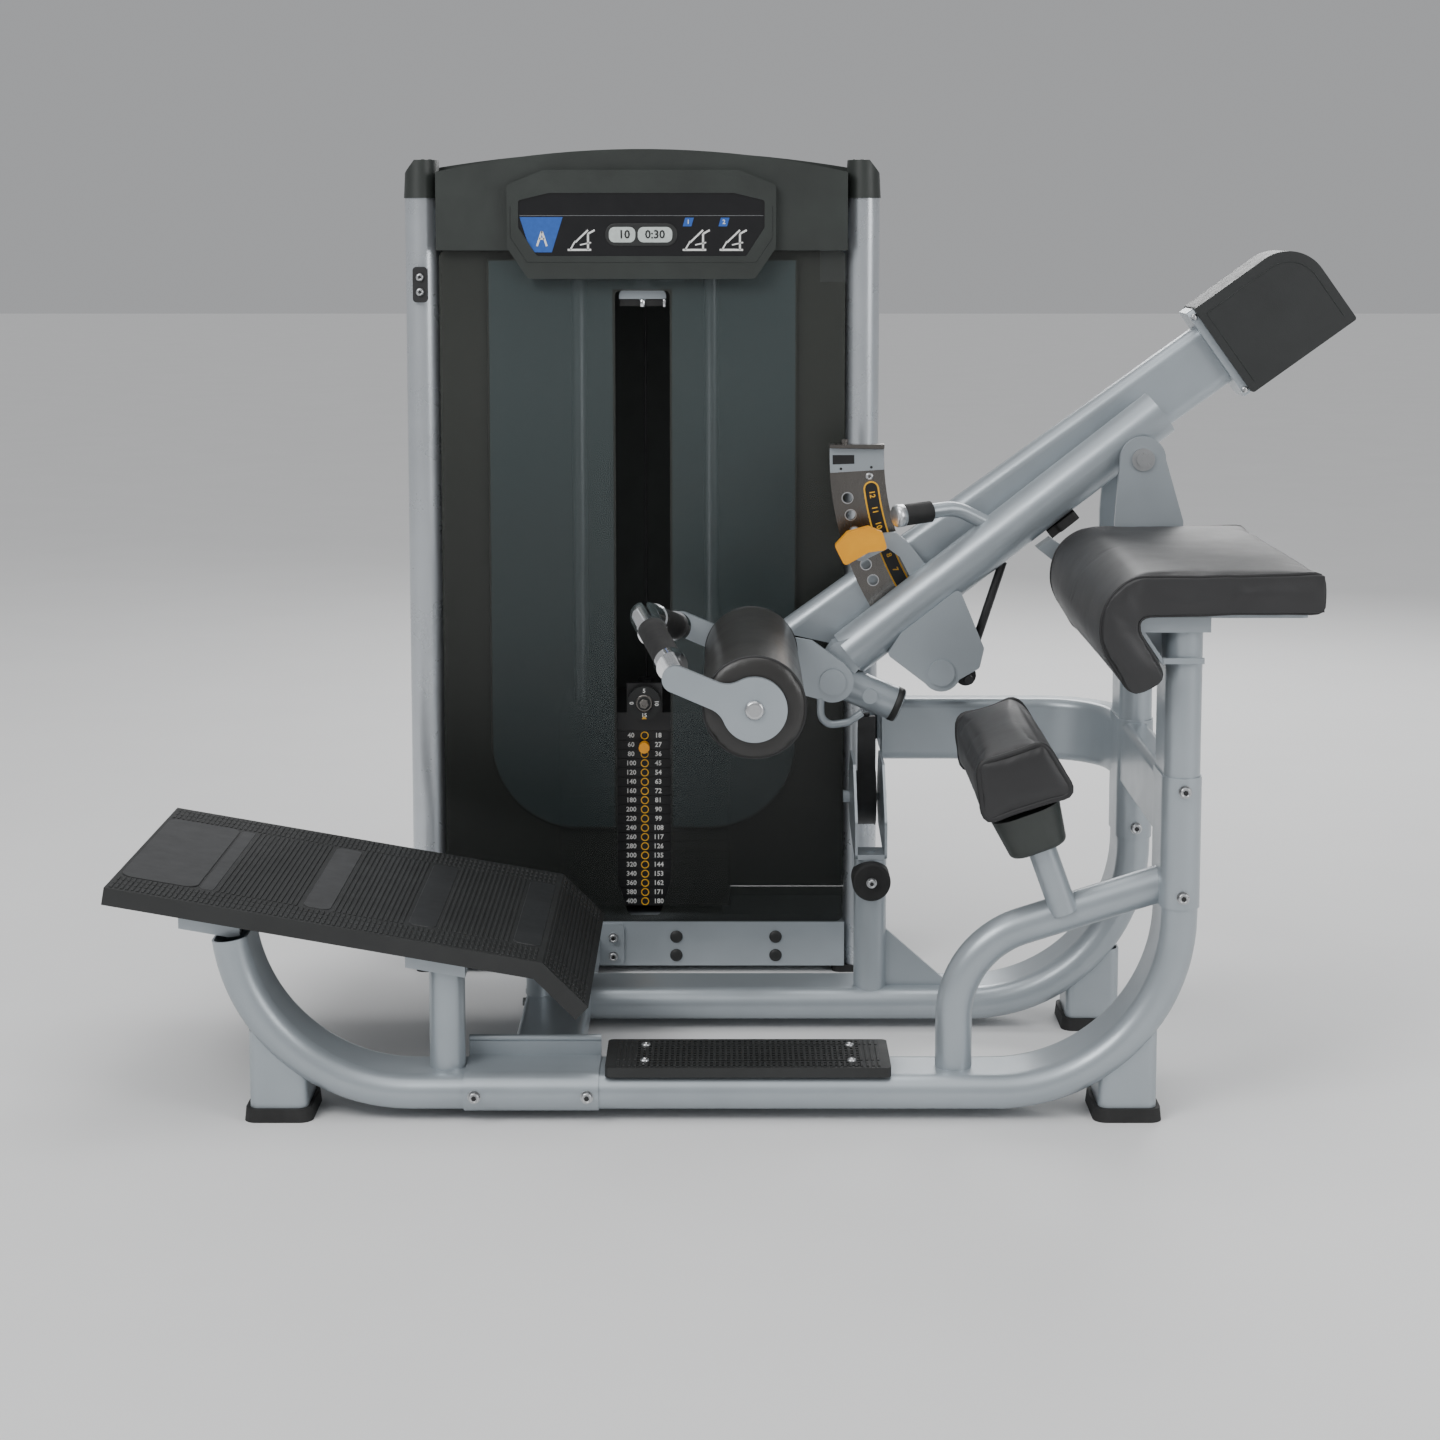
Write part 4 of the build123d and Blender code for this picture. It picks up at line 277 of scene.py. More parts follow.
WINDOW = tinted("smoked_window_painted_light", (0.030, 0.044, 0.046), (0.085, 0.118, 0.124), 0.38, 0.24)
YELLOW = moulded("orange_moulding", (0.96, 0.37, 0.004), 0.34, 900.0, 0.08, 0.12)
YELLOW_PRINT = printed("yellow_print", (0.90, 0.47, 0.02))
WHITE_PRINT = printed("white_print", (0.80, 0.80, 0.78))
BLUE_PRINT = printed("blue_print", (0.030, 0.11, 0.42), 0.35)
GREY_PRINT = printed("grey_print", (0.22, 0.23, 0.24))
LCD = printed("lcd_glass", (0.55, 0.60, 0.58), 0.3)
# Black for print and labels, also used as painted shade in the bolt sockets and the rear vents.
BLACK_PRINT_AND_SHADE = printed("black_print_and_painted_shade", (0.010, 0.010, 0.011), 0.4)

NODE_MATERIALS = {
    POST_PAINT: ["tower_posts"],
    OLIVE: ["top_cover", "console_frame", "bolster_base"],
    OLIVE_REAR: ["rear_shroud"],
    BLACK: ["footplate", "step_tread", "addon_dial"],
    PANEL: ["console_panel"],
    HOUSING: ["counterweight"],
    RUBBER: ["rubber_feet", "rubber_stop", "post_bumper", "assist_grip", "handle_grips"],
    BELT: ["drive_belt", "stack_cable"],
    STEEL: ["pivot_shaft", "frame_bolts", "roller_axle", "position_pin"],
    ROD_STEEL: ["guide_rods"],
    CHROME: ["handle_bar"],
    DARK_STEEL: ["sector_plate"],
    IRON: [
        "resting_plates", "moving_plates", "arm_strut", "accessory_bracket", "front_pulley", "rear_pulley",
        "head_pulley_left", "head_pulley_right",
    ],
    SHROUD: ["front_shroud"],
    YELLOW: ["selector_pin", "pin_handle"],
}


def finish_nodes():
    """Gives each CAD node its material."""
    chosen = {node: material for material, names in NODE_MATERIALS.items() for node in names}
    for name, node in NODES.items():
        material = chosen.get(name, PAINT)
        if not node.material_slots:
            node.data.materials.append(material)
        for material_slot in node.material_slots:
            material_slot.link = "OBJECT"
            material_slot.material = material


finish_nodes()


# ---- mesh helpers
def new_piece(name, mesh, material, body, smooth=True):
    """Links a mesh as a piece that rides on a body."""
    piece = bpy.data.objects.new(name, mesh)
    SCENE.collection.objects.link(piece)
    if not mesh.materials:
        mesh.materials.append(material)
    if smooth:
        for face in mesh.polygons:
            face.use_smooth = True
    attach(piece, body)
    return piece


def outward(build):
    """Turns the faces of a closed mesh outwards."""
    bmesh.ops.recalc_face_normals(build, faces=build.faces)
    return build


def welded(node):
    """The mesh of a CAD node with its edges joined, under construction."""
    build = bmesh.new()
    build.from_mesh(NODES[node].data)
    bmesh.ops.remove_doubles(build, verts=build.verts, dist=1e-5)
    return build


def loose_piece(name, build, material):
    """Links a mesh without a parent yet."""
    mesh = bpy.data.meshes.new(name)
    build.to_mesh(mesh)
    build.free()
    mesh.materials.clear()
    mesh.materials.append(material)
    piece = bpy.data.objects.new(name, mesh)
    SCENE.collection.objects.link(piece)
    return piece


def from_bmesh(name, build, material, body="frame",
               bevel=0.0, smooth=True, segments=2):
    """A piece from a mesh under construction, with bevelled edges if asked."""
    mesh = bpy.data.meshes.new(name)
    build.normal_update()
    build.to_mesh(mesh)
    build.free()
    piece = new_piece(name, mesh, material, body, smooth)
    if bevel:
        softened = piece.modifiers.new("bevel", "BEVEL")
        softened.width = bevel
        softened.segments = segments
        softened.limit_method = "ANGLE"
        softened.angle_limit = radians(35)
        piece.modifiers.new("normals", "WEIGHTED_NORMAL").keep_sharp = True
    return piece


def add_box(build, low, high, turn=None):
    """Adds a box between two corners, turned by a matrix if one is given."""
    matrix = Matrix.Translation((Vector(low) + Vector(high)) / 2)
    matrix @= Matrix.Diagonal((*(Vector(high) - Vector(low)), 1))
    made = bmesh.ops.create_cube(build, size=1.0, matrix=matrix)
    if turn:
        bmesh.ops.transform(build, matrix=turn, verts=made["verts"])
    return made["verts"]


def add_lathe(build, profile, axis_point, axis, segments=64):
    """Adds a surface of revolution: profile is (distance along axis, radius)."""
    axis = Vector(axis).normalized()
    side = axis.orthogonal().normalized()
    other = axis.cross(side)
    rings = []
    for along, radius in profile:
        centre = Vector(axis_point) + axis * along
        if radius < 1e-6:
            rings.append([build.verts.new(centre)])
            continue
        ring = []
        for step in range(segments):
            angle = 2 * pi * step / segments
            ring.append(build.verts.new(centre + (side * cos(angle) + other * sin(angle)) * radius))
        rings.append(ring)
    for first, second in zip(rings, rings[1:]):
        for step in range(segments):
            after = (step + 1) % segments
            corners = [first[step % len(first)], first[after % len(first)],
                       second[after % len(second)], second[step % len(second)]]
            unique = list(dict.fromkeys(corners))
            if len(unique) > 2:
                build.faces.new(unique)


def add_plate(build, outline, near, far):
    """Adds a prism of an XZ outline between two depths."""
    front = [build.verts.new((x, near, z)) for x, z in outline]
    back = [build.verts.new((x, far, z)) for x, z in outline]
    build.faces.new(front)
    build.faces.new(reversed(back))
    for step in range(len(outline)):
        after = (step + 1) % len(outline)
        build.faces.new((front[after], front[step], back[step], back[after]))
    bmesh.ops.recalc_face_normals(build, faces=build.faces)


def rounded(x0, x1, z0, z1, radius, steps=6):
    """Outline of a rounded rectangle in XZ."""
    points = []
    for cx, cz, start in (
        (x1 - radius, z1 - radius, 0), (x0 + radius, z1 - radius, 90),
        (x0 + radius, z0 + radius, 180), (x1 - radius, z0 + radius, 270),
    ):
        for step in range(steps + 1):
            angle = radians(start + 90 * step / steps)
            points.append((cx + radius * cos(angle), cz + radius * sin(angle)))
    return points


def tube_curve(name, points, radius, material, body, closed=False, smooth=False):
    """A round cord or bead along points."""
    curve = bpy.data.curves.new(name, "CURVE")
    curve.dimensions = "3D"
    curve.bevel_depth = radius
    curve.bevel_resolution = 3
    spline = curve.splines.new("NURBS" if smooth else "POLY")
    spline.points.add(len(points) - 1)
    for place, point in zip(spline.points, points):
        place.co = (*point, 1)
    spline.use_cyclic_u = closed
    curve.use_fill_caps = True
    curve.materials.append(material)
    piece = bpy.data.objects.new(name, curve)
    SCENE.collection.objects.link(piece)
    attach(piece, body)
    return piece


def lettering(name, entries, material, body, lift=0.0003):
    """Joins generic numbers into one mesh: entries are (text, location, height, spin)."""
    build = bmesh.new()
    for text, location, height, spin in entries:
        curve = bpy.data.curves.new("number", "FONT")
        curve.body = text
        curve.size = height
        curve.align_x = "CENTER"
        curve.align_y = "CENTER"
        curve.extrude = lift
        curve.offset = height * 0.018
        curve.resolution_u = 2
        maker = bpy.data.objects.new("number", curve)
        SCENE.collection.objects.link(maker)
        mesh = bpy.data.meshes.new_from_object(maker)
        mesh.transform(Matrix.Translation(location) @ Euler((pi / 2, spin, 0)).to_matrix().to_4x4())
        build.from_mesh(mesh)
        bpy.data.objects.remove(maker)
        bpy.data.meshes.remove(mesh)
        bpy.data.curves.remove(curve)
    return from_bmesh(name, build, material, body, smooth=False)


# ---- cushions
SHRINK = 0.003
PUFF_CAP = 0.005
FRAMES = 20


def puffed(node, name, material, body, voxel):
    """Inflates a copy of a CAD cushion as cloth, then replaces the node with it."""
    piece = loose_piece(name, welded(node), material)
    remesh = piece.modifiers.new("remesh", "REMESH")
    remesh.mode = "VOXEL"
    remesh.voxel_size = voxel
    apply_modifiers(piece)
    start = [vertex.co - vertex.normal * SHRINK for vertex in piece.data.vertices]
    for vertex, place in zip(piece.data.vertices, start):
        vertex.co = place
    ends = blown(piece)
    for vertex, place, end in zip(piece.data.vertices, start, ends):
        step = end - place
        if step.length > 1e-9:
            eased = PUFF_CAP * (1 - 1 / (1 + step.length / PUFF_CAP) ** 2)
            vertex.co = place + step * (eased / step.length)
    smooth = piece.modifiers.new("smooth", "SMOOTH")
    smooth.factor = 0.5
    smooth.iterations = 3
    subdivide = piece.modifiers.new("subdivide", "SUBSURF")
    subdivide.levels = subdivide.render_levels = 1
    apply_modifiers(piece)
    piece.data.materials.clear()
    piece.data.materials.append(material)
    for face in piece.data.polygons:
        face.use_smooth = True
    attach(piece, body)
    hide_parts(node)
    return piece


def apply_modifiers(piece):
    """Replaces a piece's mesh with what its modifiers make of it."""
    depsgraph = bpy.context.evaluated_depsgraph_get()
    made = bpy.data.meshes.new_from_object(piece.evaluated_get(depsgraph))
    piece.modifiers.clear()
    piece.data = made


def blown(piece):
    """Cloth pressure for a few frames; returns where each point ends."""
    cloth = piece.modifiers.new("cloth", "CLOTH")
    settings = cloth.settings
    settings.quality = 5
    settings.mass = 0.3
    settings.tension_stiffness = 18
    settings.compression_stiffness = 14
    settings.shear_stiffness = 6
    settings.bending_stiffness = 0.6
    settings.air_damping = 2
    settings.use_pressure = True
    settings.uniform_pressure_force = 4
    settings.effector_weights.gravity = 0
    cloth.point_cache.frame_start = 1
    cloth.point_cache.frame_end = FRAMES
    for step in range(1, FRAMES + 1):
        SCENE.frame_set(step)
    depsgraph = bpy.context.evaluated_depsgraph_get()
    ends = [vertex.co.copy() for vertex in piece.evaluated_get(depsgraph).data.vertices]
    piece.modifiers.clear()
    SCENE.frame_set(1)
    return ends


def seam(name, cushion, point, normal, radius, body):
    """A piping bead where a plane cuts a finished cushion."""
    build = bmesh.new()
    build.from_mesh(cushion.data)
    cut = bmesh.ops.bisect_plane(
        build, geom=build.verts[:] + build.edges[:] + build.faces[:], plane_co=point, plane_no=normal)
    edges = [item for item in cut["geom_cut"] if isinstance(item, bmesh.types.BMEdge)]
    neighbours = {}
    for edge in edges:
        first, second = edge.verts
        neighbours.setdefault(first, []).append(second)
        neighbours.setdefault(second, []).append(first)
    loops = []
    while neighbours:
        here = next(iter(neighbours))
        loop = [here]
        while True:
            onward = [vertex for vertex in neighbours.pop(here, []) if vertex in neighbours]
            if not onward:
                break
            here = onward[0]
            loop.append(here)
        loops.append(loop)
    longest = max(loops, key=len)
    points = [vertex.co.copy() for vertex in longest]
    build.free()
    spaced = [points[0]]
    for place in points:
        if (place - spaced[-1]).length > 0.006:
            spaced.append(place)
    relaxed = []
    for index, place in enumerate(spaced):
        relaxed.append((spaced[index - 1] + place * 2 + spaced[(index + 1) % len(spaced)]) / 4)
    return tube_curve(name, relaxed, radius, VINYL_BAND, body, closed=True)


def piping(name, cushion, node, inset, radius, body):
    """The two piping beads near a cushion's ends."""
    low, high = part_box(node)
    seam(name + "_near", cushion, (0, low.y + inset, 0), (0, 1, 0), radius, body)
    seam(name + "_far", cushion, (0, high.y - inset, 0), (0, 1, 0), radius, body)


def make_cushions():
    """The back pad, the hip bolster and the roller, with their piping."""
    pad = puffed("back_pad", "back_cushion", VINYL, "frame", 0.0055)
    piping("back_piping", pad, "back_pad", 0.011, 0.0024, "frame")
    bolster = puffed("hip_bolster_pad", "hip_cushion", VINYL, "frame", 0.0045)
    piping("hip_piping", bolster, "hip_bolster_pad", 0.008, 0.0045, "frame")
    roller = puffed("roller_pad", "roller_cushion", ROLLER_VINYL, "roller", 0.0045)
    piping("roller_piping", roller, "roller_pad", 0.009, 0.0022, "roller")


make_cushions()


# ---- footplate and treads
FOOT_LOW, FOOT_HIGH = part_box("footplate")
FOOT_SLOPE = radians(10)
FOOT_LIP_SLOPE = radians(45)
FOOT_START = Vector((-0.934, 0, 0.3388))
FOOT_BEND = Vector((-0.324, 0, 0.3388 - 0.610 * sin(FOOT_SLOPE) / cos(FOOT_SLOPE)))
FOOT_LIP = 0.091
RIB_PITCH = 0.0075
RIB_WIDTH = 0.0040
RIB_HEIGHT = 0.0016
BAND_WIDTH = 0.017
BAND_ROWS = 3
FOOT_MARGIN = 0.007
BAND_GAP = 0.004
PANEL_PITCH = 0.152
PANEL_STRIP = 0.040
FIRST_STRIP = 0.116


def foot_matrix(origin, slope):
    return Matrix.Translation(origin) @ Matrix.Rotation(slope, 4, "Y")


def add_ribs(build, matrix, start, end, near, far):
    """Transverse ribs from start to end along the plate."""
    place = start
    while place + RIB_WIDTH < end:
        add_box(build, (place, near, -0.001), (place + RIB_WIDTH, far, RIB_HEIGHT), matrix)
        place += RIB_PITCH


def add_field(build, matrix, start, end, near, far, radius, height):
    """A smooth raised panel with rounded corners, on the plate."""
    outline = rounded(start, end, near, far, radius)
    low = [build.verts.new((x, y, -0.001)) for x, y in outline]
    high = [build.verts.new((x, y, height)) for x, y in outline]
    build.faces.new(high)
    for step in range(len(outline)):
        after = (step + 1) % len(outline)
        build.faces.new((low[step], low[after], high[after], high[step]))
    bmesh.ops.transform(build, matrix=matrix, verts=low + high)


def make_footplate_tread():
    """Ribbed bands along both sides, and ribbed fields between smooth strips."""
    top = foot_matrix(FOOT_START, FOOT_SLOPE)
    lip = foot_matrix(FOOT_BEND, FOOT_LIP_SLOPE)
    length = (FOOT_BEND - FOOT_START).length
    near = FOOT_LOW.y + FOOT_MARGIN
    far = FOOT_HIGH.y - FOOT_MARGIN
    ribs = bmesh.new()
    for row in range(BAND_ROWS):
        offset = row * (BAND_WIDTH + BAND_GAP)
        for y in (near + offset, far - offset - BAND_WIDTH):
            add_ribs(ribs, top, 0.006, length - 0.004, y, y + BAND_WIDTH)
            add_ribs(ribs, lip, 0.004, FOOT_LIP - 0.004, y, y + BAND_WIDTH)
    band = BAND_ROWS * (BAND_WIDTH + BAND_GAP) + 0.002
    inner = (near + band, far - band)
    panels = bmesh.new()
    edges = (inner[0] + BAND_GAP, inner[1] - BAND_GAP)
    strip = FIRST_STRIP
    add_field(panels, top, 0.006, strip, *inner, 0.018, 0.0015)
    add_field(panels, top, strip + 0.003, strip + 0.024, *edges, 0.004, 0.0008)
    field_start = strip + 0.028
    for _ in range(3):
        strip += PANEL_PITCH
        add_ribs(ribs, top, field_start, strip - BAND_GAP, *inner)
        add_field(panels, top, strip, min(strip + PANEL_STRIP, length - 0.006), *edges, 0.012, 0.0010)
        field_start = strip + PANEL_STRIP + BAND_GAP
    add_ribs(ribs, lip, 0.004, FOOT_LIP - 0.004, *inner)
    from_bmesh("footplate_ribs", ribs, BLACK, bevel=0.0006, smooth=False, segments=1)
    from_bmesh("footplate_panels", panels, PLATE_SMOOTH, bevel=0.0006, smooth=False,
               segments=1)


def add_screw(build, point, axis):
    """A small domed screw head with a socket, standing out along axis."""
    profile = [(-0.0015, 0), (-0.0012, 0.0022), (0.0018, 0.0025), (0.0026, 0.0034), (0.0020, 0.0056),
               (0.0004, 0.0066), (-0.0015, 0.0068)]
    add_lathe(build, profile, point, axis, 20)


def make_screws(name, points, axis, body="frame"):
    """One piece of small screw heads."""
    build = bmesh.new()
    for point in points:
        add_screw(build, point, axis)
    from_bmesh(name, outward(build), STEEL, body)


def make_step_tread():
    """Short ribs in three rows across the step, and its four screws."""
    low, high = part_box("step_tread")
    rows = ((low.y + 0.006, low.y + 0.028), (low.y + 0.032, high.y - 0.032), (high.y - 0.028, high.y - 0.006))
    ribs = bmesh.new()
    step = low.x + 0.016
    while step < high.x - 0.016:
        for near, far in rows:
            add_box(ribs, (step, near, high.z - 0.001), (step + 0.004, far, high.z + 0.0014))
        step += 0.008
    from_bmesh("tread_ribs", ribs, BLACK, bevel=0.0005, smooth=False, segments=1)
    places = []
    for x in (low.x + 0.055, high.x - 0.055):
        for y in (low.y + 0.030, high.y - 0.030):
            places.append((x, y, high.z + 0.0016))
    make_screws("tread_screws", places, (0, 0, 1))


make_footplate_tread()
make_step_tread()


# ---- console
PANEL_LOW, PANEL_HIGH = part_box("console_panel")
PRINT_Y = PANEL_LOW.y


def panel_point(across, down):
    """A point on the console's face, in millimetres from its top left."""
    return PANEL_LOW.x + across / 1000, PANEL_HIGH.z - down / 1000


def add_stroke(build, start, end, width, near, far):
    """A thin printed bar between two XZ points."""
    way = (Vector(end) - Vector(start)).normalized()
    side = Vector((-way.y, way.x)) * width / 2
    corners = [Vector(start) - side, Vector(end) - side, Vector(end) + side, Vector(start) + side]
    add_plate(build, corners, near, far)


def console_piece(name, build, material):
    """A flat print on the console's panel."""
    return from_bmesh(name, build, material, "frame", smooth=False)


def make_console_print():
    """The blue panel, the display and plain marks in place of the exercise pictures."""
    blue = bmesh.new()
    corners = [panel_point(2, 39), panel_point(72, 39), panel_point(54, 96), panel_point(20, 96)]
    add_plate(blue, corners, PRINT_Y - 0.0006, PRINT_Y)
    console_piece("console_blue_panel", blue, BLUE_PRINT)
    line = bmesh.new()
    add_stroke(line, panel_point(2, 36.6), panel_point(398, 36.6), 0.0006, PRINT_Y - 0.0004, PRINT_Y)
    console_piece("console_line", line, GREY_PRINT)
    bezel_x0, bezel_z1 = panel_point(141, 49)
    bezel_x1, bezel_z0 = panel_point(258, 86)
    bezel = bmesh.new()
    add_plate(bezel, rounded(bezel_x0, bezel_x1, bezel_z0, bezel_z1, 0.0175, 10), PRINT_Y - 0.0026, PRINT_Y)
    from_bmesh("console_bezel", bezel, BLACK, bevel=0.0012, smooth=False)
    glass = bmesh.new()
    for across in ((147, 190), (194, 250)):
        x0, z1 = panel_point(across[0], 55)
        x1, z0 = panel_point(across[1], 80)
        add_plate(glass, rounded(x0, x1, z0, z1, 0.0095, 8), PRINT_Y - 0.0031, PRINT_Y - 0.0020)
    from_bmesh("console_lcd", glass, LCD, "frame", 0.0004, smooth=False)
    digits = []
    for text, across in (("10", 172), ("0:30", 222)):
        x, z = panel_point(across, 67.5)
        digits.append((text, (x, PRINT_Y - 0.0033, z), 0.019, 0))
    lettering("console_digits", digits, BLACK_PRINT_AND_SHADE, "frame")
    marks = bmesh.new()
    for shift in (0, 187, 247):
        for start, end, width in (
            ((80, 92), (118, 92), 3.2), ((84, 92), (92, 78), 2.4), ((113, 92), (113, 66), 3.2),
            ((92, 80), (113, 60), 2.8), ((113, 66), (124, 60), 3.0), ((100, 84), (118, 80), 2.2),
        ):
            add_stroke(marks, panel_point(start[0] + shift, start[1]), panel_point(end[0] + shift, end[1]),
                       width / 1000, PRINT_Y - 0.0004, PRINT_Y)
    console_piece("console_marks", marks, WHITE_PRINT)
    arrow = bmesh.new()
    for start, end in (((30, 86), (38, 62)), ((38, 62), (46, 86)), ((34, 74), (42, 74))):
        add_stroke(arrow, panel_point(*start), panel_point(*end), 0.0032, PRINT_Y - 0.0010, PRINT_Y - 0.0006)
    console_piece("console_blue_mark", arrow, WHITE_PRINT)
    tabs = bmesh.new()
    numbers = []
    for text, across in (("1", 276), ("2", 334)):
        corners = [panel_point(across - 9, 54), panel_point(across + 5, 54),
                   panel_point(across + 9, 40), panel_point(across - 5, 40)]
        add_plate(tabs, corners, PRINT_Y - 0.0006, PRINT_Y)
        x, z = panel_point(across, 47)
        numbers.append((text, (x, PRINT_Y - 0.0009, z), 0.010, 0))
    console_piece("console_tabs", tabs, BLUE_PRINT)
    lettering("console_tab_numbers", numbers, WHITE_PRINT, "frame")


def make_console_seam():
    """The moulding line round the console frame's opening."""
    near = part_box("console_frame")[0].y
    line = [(-13, 22), (-13, 72), (14, 112), (386, 112), (413, 72), (413, 22)]
    points = []
    for across, down in line:
        x, z = panel_point(across, down)
        points.append((x, near - 0.0001, z))
    tube_curve("console_seam", points, 0.0006, OLIVE_DARK, "frame")


make_console_print()
make_console_seam()


# ---- weight stack
PLATES = 19
PLATE_PITCH = 0.0159
PLATE_BOTTOM = 0.103
RESTING = 17
TOWER_X = -0.20375
PLATE_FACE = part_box("resting_plates")[0].y


def add_ring(build, centre, inner, outer, near, far, segments=28):
    """A flat ring facing the front."""
    loops = []
    for radius, y in ((inner, near), (outer, near), (outer, far), (inner, far)):
        loop = []
        for step in range(segments):
            angle = 2 * pi * step / segments
            loop.append(build.verts.new((centre[0] + radius * cos(angle), y, centre[1] + radius * sin(angle))))
        loops.append(loop)
    for first, second in zip(loops, loops[1:] + loops[:1]):
        for step in range(segments):
            after = (step + 1) % segments
            build.faces.new((first[step], first[after], second[after], second[step]))


def make_plate_labels(name, plates, body):
    """Number strips, rings and numbers on the plates that ride together."""
    backs = bmesh.new()
    rings = bmesh.new()
    numbers = []
    for plate in plates:
        below_top = PLATES - plate
        z = PLATE_BOTTOM + (plate + 0.5) * PLATE_PITCH - 0.0002
        outline = rounded(TOWER_X - 0.044, TOWER_X + 0.044, z - 0.0074, z + 0.0074, 0.0022, 3)
        add_plate(backs, outline, PLATE_FACE - 0.0008, PLATE_FACE + 0.0002)
        add_ring(rings, (TOWER_X, z), 0.0052, 0.0068, PLATE_FACE - 0.0014, PLATE_FACE - 0.0007)
        pounds = 40 + (below_top - 1) * 20
        kilos = 18 + (below_top - 1) * 9
        numbers.append((str(pounds), (TOWER_X - 0.023, PLATE_FACE - 0.0010, z), 0.0115, 0))
        numbers.append((str(kilos), (TOWER_X + 0.023, PLATE_FACE - 0.0010, z), 0.0115, 0))
    from_bmesh(name + "_backs", backs, BLACK_PRINT_AND_SHADE, body, smooth=False)
    from_bmesh(name + "_rings", outward(rings), YELLOW_PRINT, body, smooth=False)
    lettering(name + "_numbers", numbers, WHITE_PRINT, body)


DIAL_FACE = 0.254
HUB_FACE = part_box("addon_dial")[0].y


def make_dial_marks():
    """The numbers round the add-on weight dial and its pointer."""
    low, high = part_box("addon_dial")
    middle = (low + high) / 2
    radius = (high.x - low.x) / 2 * 0.74
    numbers = []
    for text, degrees in (("0", 180), ("5", 90), ("10", 0), ("15", 270)):
        angle = radians(degrees)
        place = (middle.x + radius * cos(angle), DIAL_FACE - 0.0003, middle.z + radius * sin(angle))
        numbers.append((text, place, 0.0095, radians(90 - degrees) if degrees != 270 else 0))
    lettering("dial_numbers", numbers, WHITE_PRINT, "dial")
    pointer = bmesh.new()
    tip = low.z + 0.0065
    add_plate(pointer, [(middle.x - 0.004, low.z + 0.001), (middle.x + 0.004, low.z + 0.001), (middle.x, tip)],
              DIAL_FACE - 0.0006, DIAL_FACE + 0.0002)
    from_bmesh("dial_pointer", pointer, YELLOW_PRINT, "dial", smooth=False)


make_plate_labels("resting_label", range(RESTING), "frame")
make_plate_labels("moving_label", range(RESTING, PLATES), "stack")
make_dial_marks()


# ---- shroud
def make_shroud_window():
    """The clearer raised window in the tinted front sheet, round the pin slot."""
    face_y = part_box("front_shroud")[0].y - 0.0008
    bottom, top = 0.252, 1.196
    half, slot_half, slot_top = 0.251, 0.049, 1.150
    corner = 0.142
    build = bmesh.new()
    for side in (-1, 1):
        outline = [(TOWER_X + side * slot_half, slot_top), (TOWER_X + side * slot_half, bottom)]
        for step in range(17):
            angle = radians(90 * step / 16)
            across = half - corner + corner * sin(angle)
            outline.append((TOWER_X + side * across, bottom + corner - corner * cos(angle)))
        outline.append((TOWER_X + side * half, slot_top))
        build.faces.new([build.verts.new((x, face_y, z)) for x, z in outline])
    over = [(-half, slot_top), (half, slot_top), (half, top), (-half, top)]
    build.faces.new([build.verts.new((TOWER_X + x, face_y, z)) for x, z in over])
    from_bmesh("shroud_window", build, WINDOW, "frame", smooth=False)


def make_slot_bracket():
    """The bright hanger behind the top of the slot, with its rubber block and cable end."""
    near = 0.2400
    half, foot, top = 0.039, 1.133, 1.152
    stem = 0.0115
    outline = [(TOWER_X - half, foot), (TOWER_X + half, foot)]
    for side in (1, -1):
        shoulder = []
        for step in range(7):
            angle = radians(90 * step / 6)
            across = stem + 0.006 + (half - stem - 0.006) * cos(angle)
            shoulder.append((TOWER_X + side * across, foot + 0.006 + (top - foot - 0.006) * sin(angle)))
        shoulder += [(TOWER_X + side * stem, top + 0.005), (TOWER_X + side * stem, 1.205)]
        outline += shoulder if side == 1 else reversed(shoulder)
    plate = bmesh.new()
    add_plate(plate, outline, near, near + 0.003)
    from_bmesh("slot_bracket", plate, PAINT, "frame", 0.0006, smooth=False)
    block = bmesh.new()
    add_box(block, (TOWER_X - half + 0.001, near, foot - 0.012),
            (TOWER_X + half - 0.004, near + 0.012, foot - 0.0005))
    from_bmesh("slot_block", block, RUBBER, "frame", 0.0012, smooth=False)
    ends = bmesh.new()
    for x, radius in ((TOWER_X, 0.0052), (TOWER_X + half - 0.003, 0.0030)):
        add_lathe(ends, [(0, 0), (0, radius * 0.8), (0.0012, radius), (0.0120, radius), (0.0134, radius * 0.8),
                         (0.0134, 0)], (x, near - 0.001, foot), (0, 0, -1), 24)
    from_bmesh("slot_bolts", outward(ends), CHROME, "frame")


make_shroud_window()
make_slot_bracket()


# ---- rear panel
def make_rear_panel():
    """The rear housing's raised field, its screws and its row of vents; the vents are black strips of painted
    shade for the dark inside of each slot.
    """
    low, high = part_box("rear_shroud")
    field = bmesh.new()
    left, right, bottom, top = low.x + 0.045, high.x - 0.045, low.z + 0.060, high.z - 0.050
    add_plate(field, rounded(left, right, bottom, top, 0.030), high.y - 0.0006, high.y + 0.0008)
    from_bmesh("rear_field", field, OLIVE_DARK, bevel=0.0006, smooth=False)
    # Painted shade: each vent slot is a black strip standing for the shadow inside the opening.
    vents = bmesh.new()
    middle = (left + right) / 2
    for row in range(9):
        z = top - 0.070 - 0.016 * row
        add_plate(vents, rounded(middle - 0.130, middle + 0.130, z - 0.0028, z + 0.0028, 0.0027, 4),
                  high.y + 0.0004, high.y + 0.0010)
    from_bmesh("rear_vent_shade", vents, BLACK_PRINT_AND_SHADE, smooth=False)
    places = []
    for x in (low.x + 0.024, high.x - 0.024):
        for row in range(5):
            places.append((x, high.y - 0.0018, bottom + 0.02 + (top - bottom - 0.04) * row / 4))
    make_screws("rear_screws", places, (0, 1, 0))


make_rear_panel()


